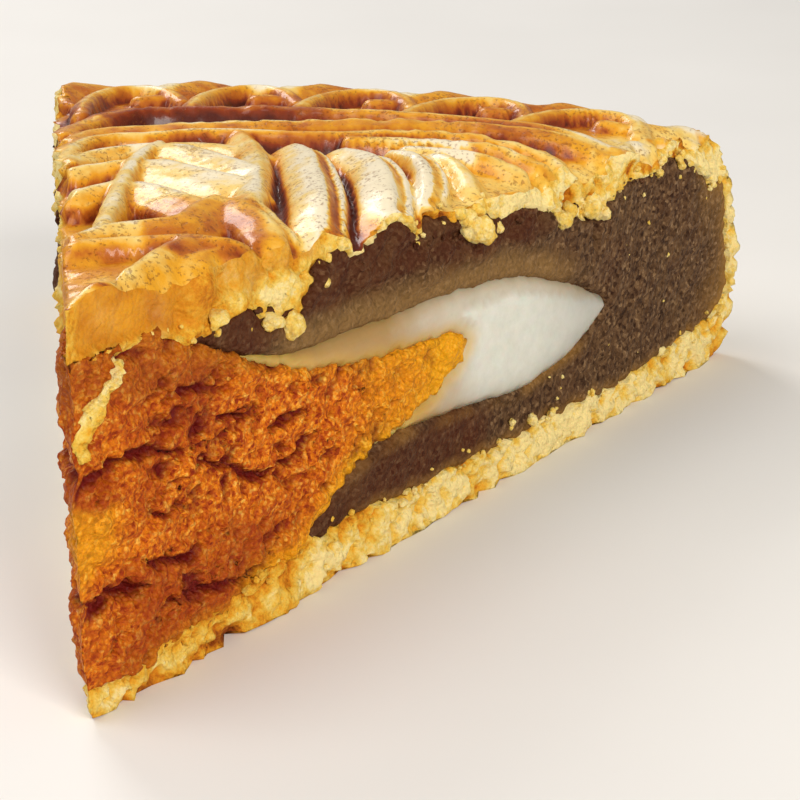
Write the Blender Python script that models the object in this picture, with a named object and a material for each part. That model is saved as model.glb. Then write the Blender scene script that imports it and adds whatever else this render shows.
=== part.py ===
"""One slice of a large baked mooncake: an eighth of a round cake, cut with a knife.

Four pieces, each one closed solid: the moulded pastry shell, and the three fillings that
show on both cut faces, which are bean paste, a soft rice layer and a salted yolk core.
Lengths below are millimetres. The slice stands on its flat base at z = 0, its tip towards -Y
and its rim towards +Y. Radius r is measured from the cake's centre, which is the slice's tip,
and a bearing is measured from the slice's middle line, positive towards +X.
"""

import math

import bmesh
import bpy
import numpy as np

MM = 0.001

# Driving dimensions of the cake
CAKE_RADIUS = 100.0
SLICE_ANGLE = 45.0
CENTRE_HEIGHT = 33.8
RIM_HEIGHT = 27.0
DOME_POWER = 1.6
GAP = 0.3

# Moulded relief: how far its floors lie below the ridge tops, and how steep its walls are
FIELD_DEPTH = 2.8
RING_DEPTH = 2.3
TIP_DEPTH = 2.1
WALL_SLOPE = 2.6
BLEND = 0.22

# The ring of overlapping arches along the rim
RING_INSIDE = 0.72 * CAKE_RADIUS
ARCHES_ROUND = 43
ARCH_PITCH = 360 / ARCHES_ROUND
FIRST_ARCH = 2.2

# How far the knife pressed the top down along the second cut face
PRESSED = 1.1

# Mesh steps
TOP_STEP = 1.1
WALL_STEP = 2.2
SECTION_STEP = 4.5
BEARING_STEP = 5.0

HALF_ANGLE = SLICE_ANGLE / 2
SHOULDER = 0.9 * CAKE_RADIUS
MID_HEIGHT = 15.0


# ---------------------------------------------------------------- curves in a plane

def smooth_path(points, step):
    """A Catmull-Rom curve through the points, as points about one step apart."""
    p = np.array(points, float)
    p = np.vstack([2 * p[0] - p[1], p, 2 * p[-1] - p[-2]])
    runs = []
    for a, b, c, d in zip(p[:-3], p[1:-2], p[2:-1], p[3:]):
        count = max(2, math.ceil(np.linalg.norm(c - b) / step))
        t = np.arange(count)[:, None] / count
        runs.append(0.5 * (2 * b + (c - a) * t + (2 * a - 5 * b + 4 * c - d) * t**2
                           + (3 * b - a - 3 * c + d) * t**3))
    return np.vstack([*runs, p[-2][None]])


def smoothstep(t):
    t = np.clip(t, 0, 1)
    return t * t * (3 - 2 * t)


def offset(path, distance):
    """The path moved sideways, to its right where the distance is positive."""
    run = np.gradient(path, axis=0)
    run /= np.linalg.norm(run, axis=1)[:, None]
    return path + distance * np.stack([run[:, 1], -run[:, 0]], axis=1)


# ---------------------------------------------------------------- the mould's relief
# The mould is drawn in plan, u across from one cut face and v along it, with the cake's centre
# at 0, 0. A ridge follows a curve: a rounded crest, then on each side a shoulder that reaches
# some way out while it sags, then a steep wall down to the floor.

def ridge(points, crest=0.5, drop=0.0, left=(0.3, 0.1), right=(0.3, 0.1), fade=(0.0, 0.0)):
    return {"path": smooth_path(points, 0.9), "crest": crest, "drop": drop,
            "left": left, "right": right, "fade": fade}


def polar(*points):
    """Points given as radius and degrees round from the cut face, in the mould's plan."""
    return [(r * math.sin(math.radians(a)), r * math.cos(math.radians(a))) for r, a in points]


def ring_path(*points):
    """A path in the ring, whose inside lies nearer the centre beside the first cut face."""
    return polar(*[(r + 0.16 * (a - 22) * min(max((96 - r) / 20, 0), 1), a) for r, a in points])


def ring_ridges():
    """Overlapping arches, each a scallop at the rim round a loop with a bead, and the inner wall."""
    ridges = []
    for k in range(-1, math.ceil(SLICE_ANGLE / ARCH_PITCH) + 1):
        a = FIRST_ARCH + k * ARCH_PITCH
        scallop = ring_path((88.4, a - 3), (92.6, a - 1.4), (95.2, a + 0.8), (95.6, a + 3), (93.4, a + 4.9),
                            (89.8, a + 5.5))
        loop = ring_path((73.4, a - 0.1), (78, a), (83.2, a + 0.6), (86.6, a + 1.9), (87.8, a + 3.7),
                         (86.4, a + 5.5), (82.6, a + 7))
        bead = ring_path((84, a + 3.9), (84.3, a + 5))
        ridges.append(ridge(scallop, 0.55, left=(0.5, 0.5), right=(3, 1.5), fade=(0.5, 0.4)))
        ridges.append(ridge(loop, 0.5, 0.35, left=(0.7, 0.4), right=(0.35, 0.2), fade=(0.2, 0.7)))
        ridges.append(ridge(bead, 0.7, 0.9, left=(0.5, 0.6), right=(0.5, 0.6)))
    inner = [(57, 0.8), (60.5, 2), (65, 3.9), (68.5, 6), *[(RING_INSIDE + 0.16 * (a - 22), a)
                                                          for a in range(9, 52, 4)]]
    ridges.append(ridge(polar(*inner), 0.6, 0.15, left=(1.6, 0.7), right=(0.4, 0.3)))
    return ridges


def collar_ridges():
    """Lines that close round beside the first cut face and run together near the other."""
    return [
        ridge([(1.4, 54), (3.4, 58), (8, 59.4), (16, 60), (24, 60.5), (32, 60.6), (38, 60), (43, 58.4),
               (48, 56), (52, 53.4)], 0.6, 0.35, right=(1.1, 0.4)),
        ridge([(1, 43), (1.4, 49), (2.8, 53), (5.5, 54.8), (9, 55), (13.5, 56), (18, 55.2), (23.5, 53.8),
               (29, 53.5), (33, 53.8), (37, 53.2), (41, 51), (44.5, 48.4), (46.8, 46)], 0.55, 0.2,
              left=(0.9, 0.3), right=(0.3, 0.2)),
        ridge([(27, 51.8), (31.6, 51.4), (35, 50.8), (38.5, 49.6), (41.5, 47.8), (44, 45.6)], 0.45, 0.35,
              right=(0.4, 0.3)),
        ridge([(31.8, 48.6), (35.5, 47.6), (39, 46), (41.5, 44)], 0.4, 0.6, right=(0.8, 0.5)),
    ]


def leaf_ridges():
    """A striped leaf: its vein, short ribs on the left and broad slanting lobes on the right."""
    vein = ridge([(9.3, 50.8), (8, 47.7), (6.9, 43.6), (6, 38.5), (5.3, 33.5), (4.5, 27.6), (3.8, 22.4),
                  (3.4, 19)], 0.45, 0.2, left=(0.3, 0.3), right=(0.5, 0.4))
    ribs = [
        ridge([(1.4, 43.6), (2.6, 47.4), (4.5, 49.4), (6.6, 50.8), (9.3, 51.4)], 0.45, 0.5, right=(1, 0.5)),
        ridge([(1.3, 40.9), (3.5, 42.4), (6.2, 43.7)], 0.45, 0.5, right=(0.7, 0.5)),
        ridge([(1.3, 32), (3.3, 33.7), (5.2, 35.2)], 0.5, 0.5, right=(1.2, 1)),
    ]
    lobes = [
        ridge([(10.4, 52.6), (13.4, 52.4), (16, 50.6), (17.6, 47.6)], 0.8, 0.9, left=(1.2, 0.5),
              right=(1.2, 0.5)),
        ridge([(10, 49.6), (12.8, 46.6), (15.2, 42.2), (16.8, 38.4)], 0.7, 0.3, left=(0.3, 0.3),
              right=(2.2, 0.7)),
        ridge([(9.2, 42.8), (12.4, 38.6), (15.2, 35)], 0.7, 0.4, left=(0.3, 0.3), right=(4, 1)),
        ridge([(6.9, 34.4), (9.4, 31.2), (11.8, 26.6)], 0.6, 0.5, left=(0.3, 0.3), right=(2.7, 0.9)),
    ]
    edge = ridge([(17, 55), (17.6, 49.4), (17.5, 42.4), (16.8, 36), (16, 30), (15.3, 25.8)], 0.35, 0.25,
                 left=(0.8, 0.6), right=(1.3, 0.8))
    return [vein, *ribs, *lobes, edge]


def crescent_ridges():
    """Curved blades side by side: a broad face rising to a crest, and a short slope down to a thin lip."""
    blades = [
        ([(21.7, 50.2), (22.2, 46.6), (22.3, 42.6), (22, 38), (21.9, 33.6), (21.5, 27.8), (20.9, 23),
          (20.1, 18.4)], 0.1, 2.5),
        ([(25.9, 48), (27.3, 44.6), (28, 40.4), (28, 35), (27.5, 29.6), (26.6, 25)], 0.15, 2.5),
        ([(30.2, 47.6), (31.6, 44.4), (32, 40.6), (31.7, 36.8), (30.9, 32.4)], 0.3, 0.9),
        ([(33.4, 46.8), (34.9, 44), (35.7, 40.6), (35.9, 37)], 0.5, 0.9),
    ]
    lips = [
        [(22.8, 50.4), (23.6, 46.6), (23.9, 42), (23.8, 36.8), (23.5, 31.2), (22.9, 26.2), (22.1, 21)],
        [(27.3, 48), (29, 44.6), (29.7, 40.2), (29.6, 35), (29, 29.8), (28, 26.4)],
        [(31.7, 47.8), (33.2, 44.2), (33.5, 39.6), (32.9, 35.2)],
    ]
    faces = [ridge(points, 0.35, drop, left=(1, 0.9), right=(reach, 1.4), fade=(0.5, 0.9))
             for points, drop, reach in blades]
    edges = [ridge(points, 0.2, 0.75, left=(0.1, 0.1), right=(0.15, 0.2), fade=(0.2, 0.8)) for points in lips]
    return faces + edges


def tip_ridges():
    """A folded plate, the vine band that crosses the slice, and the step beside the tip."""
    return [
        ridge([(14.2, 26.8), (15.6, 23.6), (16.7, 20.6), (17.4, 17.6)], 0.6, 0.3, left=(0.3, 0.3),
              right=(2.2, 0.8)),
        ridge([(14.9, 29.4), (16.3, 26.1), (17.2, 22.9), (18.2, 20.4)], 0.35, 0.7),
        ridge([(1, 16), (2.5, 17.9), (4.4, 19.3), (7.2, 20.2), (9.6, 21.6), (11, 24.6), (12.6, 27.6)], 0.5,
              0.2, left=(0.3, 0.3), right=(2.6, 1.4)),
        ridge([(1, 14.8), (3.6, 15.5), (9, 15.9), (12.4, 15), (14.6, 14.7)], 0.5, 0.35, left=(1, 0.6),
              right=(0.5, 0.4)),
        ridge([(1, 1.2), (2.4, 3.4), (4.4, 5), (5.7, 8), (7.6, 12), (9.6, 14.8)], 0.5, 0.25,
              left=(0.4, 0.4), right=(2.4, 2)),
    ]


def signed_distance(u, v, path):
    """Distance to the path, positive on its right, and the share of its length at the nearest point."""
    nearest = np.full(u.shape, np.inf)
    side = np.zeros(u.shape)
    share = np.zeros(u.shape)
    runs = np.diff(path, axis=0)
    lengths = np.linalg.norm(runs, axis=1)
    begins = np.concatenate([[0], np.cumsum(lengths)])
    for start, run, length, begin in zip(path[:-1], runs, lengths, begins):
        du = u - start[0]
        dv = v - start[1]
        t = np.clip((du * run[0] + dv * run[1]) / length**2, 0, 1)
        gap = (du - t * run[0]) ** 2 + (dv - t * run[1]) ** 2
        closer = gap < nearest
        nearest = np.where(closer, gap, nearest)
        side = np.where(closer, run[1] * du - run[0] * dv, side)
        share = np.where(closer, (begin + t * length) / begins[-1], share)
    return np.sqrt(nearest) * np.where(side >= 0, 1, -1), share


def ridge_height(u, v, item):
    """Height of one ridge below the ridge-top surface."""
    distance, share = signed_distance(u, v, item["path"])
    on_right = distance > 0
    reach = np.where(on_right, item["right"][0], item["left"][0])
    sag = np.where(on_right, item["right"][1], item["left"][1])
    beyond = np.abs(distance) - item["crest"]
    rounding = 0.12 * np.clip(np.abs(distance) / item["crest"], 0, 1) ** 2
    ends = (item["fade"][0] * np.clip(1 - share / 0.3, 0, 1) ** 2
            + item["fade"][1] * np.clip((share - 0.7) / 0.3, 0, 1) ** 2)
    shoulder = sag * np.clip(beyond / reach, 0, 1) ** 1.3
    wall = WALL_SLOPE * np.maximum(beyond - reach, 0)
    return -item["drop"] - rounding - ends - shoulder - wall


def relief(u, v, ridges):
    """Height of the moulded top below the ridge-top surface."""
    r = np.hypot(u, v)
    floor = np.where(r < RING_INSIDE, -FIELD_DEPTH, -RING_DEPTH)
    floor = np.where(r < 18, -TIP_DEPTH, floor) + 0.3 * np.sin(0.21 * u + 0.6) * np.sin(0.17 * v)
    height = floor
    for item in ridges:
        other = ridge_height(u, v, item)
        mix = np.clip((BLEND + other - height) / (2 * BLEND), 0, 1)
        height = height * (1 - mix) + other * mix + BLEND * mix * (1 - mix)
    return height


def rim_notches(reached, turn):
    """The notch at the shoulder between one arch and the next."""
    past = (np.degrees(turn) - FIRST_ARCH + 2.8 + 0.5 * ARCH_PITCH) % ARCH_PITCH - 0.5 * ARCH_PITCH
    band = smoothstep((reached - SHOULDER + 2) / 4) * (1 - smoothstep((reached - SHOULDER - 7) / 6))
    return -1.5 * np.exp(-(past / 1.1) ** 2) * band


def moulded(reached, turn, ridges):
    """Relief at a distance from the centre along the outside, averaged nearby, with a plain wall."""
    carved = 0
    for du, dv in ((0.3, 0.1), (-0.1, 0.3), (-0.3, -0.1), (0.1, -0.3)):
        carved = carved + relief(reached * np.sin(turn) + du, reached * np.cos(turn) + dv, ridges) / 4
    from_cut = reached * np.sin(np.radians(SLICE_ANGLE) - turn)
    carved = carved - PRESSED * np.exp(-(from_cut / 4) ** 2) * smoothstep((reached - 18) / 10)
    on_top = 1 - smoothstep((reached - SHOULDER - 1) / 6)
    return carved * on_top + rim_notches(reached, turn)


# ---------------------------------------------------------------- the cake's sections
# A section is a path of (r, z) points in a half plane through the cake's axis.

def dome(r):
    """Height of the ridge tops at radius r."""
    return CENTRE_HEIGHT - (CENTRE_HEIGHT - RIM_HEIGHT) * (r / (0.96 * CAKE_RADIUS)) ** DOME_POWER


def outer_section():
    """The outside from the centre of the top to the base: dome, round shoulder, leaning wall."""
    radii = np.arange(0, SHOULDER + 0.01, TOP_STEP)
    top = np.stack([radii, dome(radii)], axis=1)
    bend = [(SHOULDER - 3, dome(SHOULDER - 3)), (SHOULDER, dome(SHOULDER)), (93.2, 26.3), (95.8, 23.4),
            (97.5, 19.4), (99, 15)]
    wall = [(99, 15), (CAKE_RADIUS, 9.5), (CAKE_RADIUS - 0.2, 5), (99, 1.8), (97.6, 0)]
    shoulder = smooth_path(bend, TOP_STEP)
    shoulder = shoulder[shoulder[:, 0] > SHOULDER + 0.5 * TOP_STEP]
    return np.vstack([top, shoulder[:-1], smooth_path(wall, WALL_STEP)])


def cavity_section():
    """The inside of the pastry, which the fillings fill."""
    top = [(1.5, 27.9), (10, 27.3), (20, 26.4), (30, 26.9), (40, 26.7), (50, 26), (58, 25), (66, 23.3),
           (74, 22.7), (82, 23.5), (88.5, 23.2)]
    rim = [(93, 20.4), (95.6, 16.5), (97.2, 12), (97.8, 8), (96.4, 4.8), (92.5, 3.5)]
    base = [(80, 2.9), (60, 3), (45, 3.4), (30, 3.3), (15, 2.5), (1.5, 2)]
    return smooth_path(top + rim + base, SECTION_STEP)


def core_section():
    """The outside of the rice layer and the yolk together, from the top of the yolk round to its foot."""
    top = [(11.2, 26.6), (17.5, 23.9), (24, 22.3), (31, 21.7), (42, 21.4), (53, 20.7), (60, 19.5), (67, 17.3),
           (72.6, 14.6)]
    foot = [(74.2, 12.8), (71.7, 10.9), (66.5, 9.2), (58, 8.4), (49, 8.8), (42, 9.6), (35.6, 9.3), (31, 8),
            (28.4, 5.8), (27.2, 3.6)]
    return smooth_path(top + foot, SECTION_STEP)


def yolk_section():
    """The boundary between the yolk and the rice layer round it, from top to foot."""
    top = [(19.5, 23.1), (24.4, 21), (31.3, 19.2), (38.1, 18.1), (45.4, 17.1), (50, 15.6)]
    foot = [(50.6, 14.4), (47, 13.2), (42.2, 11.8), (38.5, 10.6), (35.2, 9.6)]
    return smooth_path(top + foot, SECTION_STEP)


# ---------------------------------------------------------------- meshes

def new_object(name, mesh_data, material):
    mesh = bpy.data.meshes.new(name)
    mesh_data.to_mesh(mesh)
    mesh_data.free()
    mesh.materials.append(material)
    made = bpy.data.objects.new(name, mesh)
    bpy.context.scene.collection.objects.link(made)
    return made


def place(r, z, bearing):
    """A point of the slice in metres, from its section point and its bearing in degrees."""
    a = math.radians(bearing)
    return (r * math.sin(a) * MM, (r * math.cos(a) - CAKE_RADIUS / 2) * MM, z * MM)


def join_rows(mesh, inner, outer):
    """Triangles between two rows of points that may have different counts."""
    i = 0
    j = 0
    while i < len(inner) - 1 or j < len(outer) - 1:
        outer_next = j < len(outer) - 1 and (
            i == len(inner) - 1 or (j + 1) * (len(inner) - 1) <= (i + 1) * (len(outer) - 1))
        if outer_next:
            mesh.faces.new((inner[i], outer[j + 1], outer[j]))
            j += 1
        else:
            mesh.faces.new((inner[i], inner[i + 1], outer[j]))
            i += 1


def pastry_block(material):
    """The slice's whole outside as one solid, its top moulded."""
    ridges = ring_ridges() + collar_ridges() + leaf_ridges() + crescent_ridges() + tip_ridges()
    section = outer_section()
    slope = np.gradient(section, axis=0)
    slope /= np.linalg.norm(slope, axis=1)[:, None]
    along = np.concatenate([[0], np.cumsum(np.linalg.norm(np.diff(section, axis=0), axis=1))])
    turns = [np.radians([HALF_ANGLE])]
    for (r, _), reached in zip(section[1:], along[1:]):
        step = TOP_STEP if reached < SHOULDER + 12 else WALL_STEP
        count = max(1, round(r * math.radians(SLICE_ANGLE) / step))
        turns.append(np.linspace(0, math.radians(SLICE_ANGLE), count + 1))
    carved = moulded(np.concatenate([np.full(len(t), s) for t, s in zip(turns, along)]),
                     np.concatenate(turns), ridges)
    row_ends = np.cumsum([len(t) for t in turns])[:-1]
    mesh = bmesh.new()
    rows = []
    for (r, z), (run_r, run_z), turn, depths in zip(section, slope, turns, np.split(carved, row_ends)):
        rows.append([mesh.verts.new(place(r - run_z * depth, z + run_r * depth, math.degrees(t) - HALF_ANGLE))
                     for t, depth in zip(turn, depths)])
    for inner, outer in zip(rows[:-1], rows[1:]):
        join_rows(mesh, inner, outer)
    foot = mesh.verts.new(place(0, 0, 0))
    mesh.faces.new([row[0] for row in rows] + [foot])
    mesh.faces.new([row[-1] for row in reversed(rows[1:])] + [rows[0][0], foot])
    mesh.faces.new(list(rows[-1]) + [foot])
    bmesh.ops.recalc_face_normals(mesh, faces=mesh.faces)
    return new_object("pastry", mesh, material)


def cavity_cutter(material):
    """The inside of the pastry, turned all the way round the cake's axis."""
    section = cavity_section()
    count = round(360 / BEARING_STEP)
    mesh = bmesh.new()
    rings = [[mesh.verts.new(place(r, z, k * BEARING_STEP)) for r, z in section] for k in range(count)]
    for one, two in zip(rings, rings[1:] + rings[:1]):
        for j in range(len(section) - 1):
            mesh.faces.new((one[j], one[j + 1], two[j + 1], two[j]))
    mesh.faces.new([ring[0] for ring in rings])
    mesh.faces.new([ring[-1] for ring in rings])
    bmesh.ops.recalc_face_normals(mesh, faces=mesh.faces)
    cutter = new_object("cavity", mesh, material)
    cutter.hide_render = True
    cutter.display_type = "WIRE"
    return cutter


def sway(r, z, bearing):
    """How far a filling's inner edge wanders outwards, so that the two cut faces differ."""
    along = math.sin(math.pi * min(max((r - 14) / 74, 0), 1)) ** 2
    clear_of_pastry = smoothstep((z - 4) / 4) * smoothstep((24 - z) / 3)
    return 1.6 * math.sin(math.radians(4.5 * bearing) + 0.9) * along * clear_of_pastry


def paste_outline():
    """The closed section of the bean paste: inside the pastry, round the rice layer and the yolk."""
    lining = offset(cavity_section(), GAP)
    core = offset(core_section(), -GAP)
    upper = lining[(lining[:, 1] > MID_HEIGHT) & (lining[:, 0] > core[0, 0] + 1.5)]
    lower = lining[(lining[:, 1] <= MID_HEIGHT) & (lining[:, 0] > core[-1, 0] + 1.5)]
    return np.vstack([upper, lower, core[::-1][1:-1]])


def rice_outline():
    """The closed section of the rice layer, which wraps the yolk's outer half."""
    core = core_section()
    yolk = offset(yolk_section(), -GAP)
    wraps_top = (core[:, 1] > MID_HEIGHT) & (core[:, 0] > yolk[0, 0] + 0.6)
    wraps_foot = (core[:, 1] <= MID_HEIGHT) & (core[:, 0] > yolk[-1, 0] + 0.6)
    return np.vstack([core[wraps_top | wraps_foot], yolk[::-1][1:-1]])


def yolk_outline():
    """The closed section of the yolk, from the cake's axis outwards."""
    lining = offset(cavity_section(), GAP)
    core = core_section()
    yolk = yolk_section()
    lid = lining[(lining[:, 1] > MID_HEIGHT) & (lining[:, 0] < core[0, 0] - 1)]
    crown = core[(core[:, 1] > MID_HEIGHT) & (core[:, 0] < yolk[0, 0])]
    foot = core[(core[:, 1] < MID_HEIGHT) & (core[:, 0] < yolk[-1, 0] - 1)]
    floor = lining[(lining[:, 1] < MID_HEIGHT) & (lining[:, 0] < core[-1, 0] - 0.5)]
    axis_top = [[0, lid[0, 1]]]
    axis_foot = [[0, floor[-1, 1]]]
    return np.vstack([axis_top, lid, crown, yolk, foot, floor, axis_foot])


def filling(name, section, material):
    """A filling that runs from one cut face to the other, from its closed section."""
    inside = [b for b in np.arange(-90, 90 + BEARING_STEP, BEARING_STEP) if abs(b) < HALF_ANGLE - 1]
    bearings = [-HALF_ANGLE, *inside, HALF_ANGLE]
    mesh = bmesh.new()
    poles = {j: mesh.verts.new(place(0, z, 0)) for j, (r, z) in enumerate(section) if r < 0.01}
    rings = [[poles.get(j) or mesh.verts.new(place(r + sway(r, z, b), z, b))
              for j, (r, z) in enumerate(section)] for b in bearings]
    for one, two in zip(rings[:-1], rings[1:]):
        for j in range(len(section)):
            k = (j + 1) % len(section)
            corners = list(dict.fromkeys((one[j], one[k], two[k], two[j])))
            if len(corners) > 2:
                mesh.faces.new(corners)
    mesh.faces.new(rings[0])
    mesh.faces.new(rings[-1])
    bmesh.ops.recalc_face_normals(mesh, faces=mesh.faces)
    return new_object(name, mesh, material)


def material(name, colour, roughness, subsurface=0.0):
    made = bpy.data.materials.new(name)
    made.use_nodes = True
    shader = made.node_tree.nodes["Principled BSDF"]
    shader.inputs["Base Color"].default_value = (*colour, 1.0)
    shader.inputs["Roughness"].default_value = roughness
    shader.inputs["Metallic"].default_value = 0.0
    shader.inputs["Subsurface Weight"].default_value = subsurface
    return made


def build():
    for old in list(bpy.data.objects):
        bpy.data.objects.remove(old)
    paste_material = material("bean_paste", (0.075, 0.045, 0.03), 0.6)
    pastry = pastry_block(material("baked_pastry", (0.62, 0.33, 0.09), 0.4))
    cut = pastry.modifiers.new("cavity", "BOOLEAN")
    cut.operation = "DIFFERENCE"
    cut.solver = "EXACT"
    cut.object = cavity_cutter(paste_material)
    filling("bean_paste", paste_outline(), paste_material)
    filling("mochi_layer", rice_outline(), material("rice_dough", (0.66, 0.64, 0.55), 0.35, 0.3))
    filling("egg_yolk", yolk_outline(), material("salted_yolk", (0.62, 0.15, 0.015), 0.6, 0.1))

    slice_frame = bpy.data.objects.new("slice", None)
    bpy.context.scene.collection.objects.link(slice_frame)
    for made in bpy.context.scene.objects:
        if made is not slice_frame:
            made.parent = slice_frame


build()
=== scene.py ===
"""The looks of one slice of a large baked mooncake, on its CAD frame.

The pastry and each of the three fillings is one closed piece in place of one of the frame's solids.
The moulded top repeats the frame's relief from the same named sizes, on a finer mesh, and the cut
faces get their crumb. Lengths are millimetres until a mesh is made. Radius r is measured from the
cake's centre, which is the slice's tip. A turn starts at the left cut face, a bearing at the
slice's middle line, positive towards +X.
"""

import itertools
import math

import bmesh
import bpy
import numpy as np
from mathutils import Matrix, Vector, geometry, kdtree


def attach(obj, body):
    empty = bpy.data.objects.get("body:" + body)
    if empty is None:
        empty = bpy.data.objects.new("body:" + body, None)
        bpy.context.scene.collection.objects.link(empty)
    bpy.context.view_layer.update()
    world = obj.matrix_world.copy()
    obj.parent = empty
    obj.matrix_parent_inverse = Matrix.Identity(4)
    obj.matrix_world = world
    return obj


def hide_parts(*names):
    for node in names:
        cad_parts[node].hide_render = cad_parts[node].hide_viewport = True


MM = 0.001

# The cake, as in the frame
CAKE_RADIUS = 100.0
SLICE_ANGLE = 45.0
CENTRE_HEIGHT = 33.8
RIM_HEIGHT = 27.0
DOME_POWER = 1.6
FIELD_DEPTH = 2.8
RING_DEPTH = 2.3
TIP_DEPTH = 2.1
RING_INSIDE = 0.72 * CAKE_RADIUS
ARCHES_ROUND = 43
ARCH_PITCH = 360 / ARCHES_ROUND
FIRST_ARCH = 2.2
PRESSED = 1.1
SHOULDER = 0.9 * CAKE_RADIUS
SLICE_TURN = math.radians(SLICE_ANGLE)
HALF_TURN = SLICE_TURN / 2

# The relief's walls, crisper than the frame's coarse mesh allows
WALL_SLOPE = 3.4
BLEND = 0.15

# Mesh steps
PATH_STEP = 0.9
TOP_STEP = 0.34
WALL_STEP = 0.55
BASE_STEP = 1.6
CUT_STEP = {"pastry": 0.28, "paste": 0.38, "rice": 0.6, "yolk": 0.28}
# How far to each side the relief is sampled for its slope, and for its hollows
SLOPE_STEP = 0.15
HOLLOW_STEP = 0.6

# How wide a strip beside a cut face gives way to its crumb
EDGE_STRIP = 2.2
# How far the pieces reach under each other
TUCK = 0.3
# Behind the cut faces the fillings' roof drops clear of the moulded top: how far in, and by how much
BEHIND = 2.4
ROOF_DROP = 1.6
# How high the middle of the base is hollowed
FOOT = 0.2
# Points nearer to the cake's axis than this lie on it
AT_AXIS = 1e-9
# Further off than anything that counts
FAR = 9.0

# The camera, in metres
VIEW_FROM = (0.0559, -0.1806, 0.0825)
VIEW_AT = (0.012, -0.0012, 0.0085)
VIEW_LENS = 98

# The lamps: where each one stands, what it faces, in metres, its size, power and colour
LAMPS = {
    "window": ((-0.36, 0.42, 0.42), (0, 0, 0.02), 0.26, 1.7, (1, 0.97, 0.95)),
    "above": ((-0.3, -0.22, 0.6), (0, 0, 0.02), 0.45, 2.2, (1, 0.97, 0.93)),
    "front": ((0.42, -0.45, 0.4), (0, 0, 0.015), 0.3, 3.6, (1, 0.96, 0.9)),
}
# The light from all round
ALL_ROUND = {"Color": (1, 0.96, 0.9, 1), "Strength": 0.26}

LEFT, RIGHT = -1, 1

# How far the crust's broken edge sinks beside each cut
BROKEN = {LEFT: 0.35, RIGHT: 0.8}


# ---------------------------------------------------------------- numbers

def ease(t):
    """0 below 0 and 1 above 1, with a soft rise between them."""
    t = np.clip(t, 0, 1)
    return t * t * (3 - 2 * t)


def rise(x, start, over):
    """0 up to the start, and 1 once x is this far over it."""
    return ease((x - start) / over)


def fall(x, start, over):
    """1 up to the start, and 0 once x is this far over it."""
    return 1 - rise(x, start, over)


def window(x, start, end, soft):
    """1 between start and end, and 0 further than soft outside them."""
    return ease((x - start) / soft + 1) * ease((end - x) / soft + 1)


def bell(x, middle, wide):
    """1 at the middle, and near 0 further than twice the width from it."""
    return np.exp(-((x - middle) / wide) ** 2)


def hashed(cell, seed):
    """A steady number from -1 to 1 for each whole-number cell."""
    mixed = np.full(cell.shape[:-1], (seed * 2654435761 + 97) % 2**32, np.uint64)
    for axis, prime in zip(range(cell.shape[-1]), (73856093, 19349663, 83492791)):
        mixed ^= (cell[..., axis].astype(np.int64) * prime % 2**32).astype(np.uint64)
        mixed = (mixed ^ (mixed >> np.uint64(15))) * np.uint64(2246822519) % np.uint64(2**32)
        mixed ^= mixed >> np.uint64(13)
    return mixed / 2**31 - 1


def noise(points, size, seed):
    """Smooth noise from about -1 to 1, with bumps of one size."""
    turn = 0.7 * seed
    p = np.array(points, float) / size + 500
    p[..., :2] = np.stack([p[..., 0] * math.cos(turn) - p[..., 1] * math.sin(turn),
                           p[..., 0] * math.sin(turn) + p[..., 1] * math.cos(turn)], axis=-1)
    cell = np.floor(p)
    t = ease(p - cell)
    total = 0
    for corner in itertools.product((0, 1), repeat=p.shape[-1]):
        weight = np.prod(np.where(np.array(corner), t, 1 - t), axis=-1)
        total = total + weight * hashed(cell + np.array(corner), seed)
    return total


def rough(points, size, seed, octaves=3):
    """Noise of several sizes, each half the one before."""
    return sum(noise(points, size / 2**k, seed + 7 * k) / 1.8**k for k in range(octaves))


def wander(points, size, amount, seed):
    """The points shifted about, so that what is measured at them gets a ragged edge."""
    shift = np.stack([rough(points, size, seed), rough(points, size, seed + 50)], axis=-1)
    return np.array(points, float)[..., :2] + amount * shift


def crumbs(points, size, seed):
    """Rounded grains side by side: 1 at a grain's middle and 0 or less where grains meet."""
    p = np.array(points, float) / size + 500
    home = np.floor(p)
    nearest = np.full(p.shape[:-1], FAR)
    for shift in itertools.product((-1, 0, 1), repeat=2):
        cell = home + np.array(shift)
        middle = cell + 0.5 + 0.42 * np.stack([hashed(cell, seed), hashed(cell, seed + 1)], axis=-1)
        gap = np.sum((p - middle) ** 2, axis=-1) * (1 + 0.35 * hashed(cell, seed + 2))
        nearest = np.minimum(nearest, gap)
    return 1 - 2 * nearest


# ---------------------------------------------------------------- curves in a plane

def smooth_path(points, step):
    """A smooth curve through the points, as points about one step apart."""
    p = np.array(points, float)
    p = np.vstack([2 * p[0] - p[1], p, 2 * p[-1] - p[-2]])
    runs = []
    for a, b, c, d in zip(p[:-3], p[1:-2], p[2:-1], p[3:]):
        count = max(2, math.ceil(np.linalg.norm(c - b) / step))
        t = np.arange(count)[:, None] / count
        runs.append(0.5 * (2 * b + (c - a) * t + (2 * a - 5 * b + 4 * c - d) * t**2
                           + (3 * b - a - 3 * c + d) * t**3))
    return np.vstack([*runs, p[-2][None]])


def lengths_along(path):
    """The way along the path from its start to each of its points."""
    return np.concatenate([[0], np.cumsum(np.linalg.norm(np.diff(path, axis=0), axis=1))])


def points_at(at, along, path):
    """Points of a path at given ways along it."""
    return np.stack([np.interp(at, along, column) for column in path.T], axis=1)


def even_path(points, count):
    """A smooth curve through the points, as this many points evenly apart."""
    curve = smooth_path(points, 0.2)
    along = lengths_along(curve)
    return points_at(np.linspace(0, along[-1], count), along, curve)


def offset(path, distance):
    """The path moved sideways, to its right where the distance is positive."""
    run = np.gradient(path, axis=0)
    run /= np.linalg.norm(run, axis=1)[:, None]
    return path + np.reshape(distance, (-1, 1)) * np.stack([run[:, 1], -run[:, 0]], axis=1)


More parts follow.
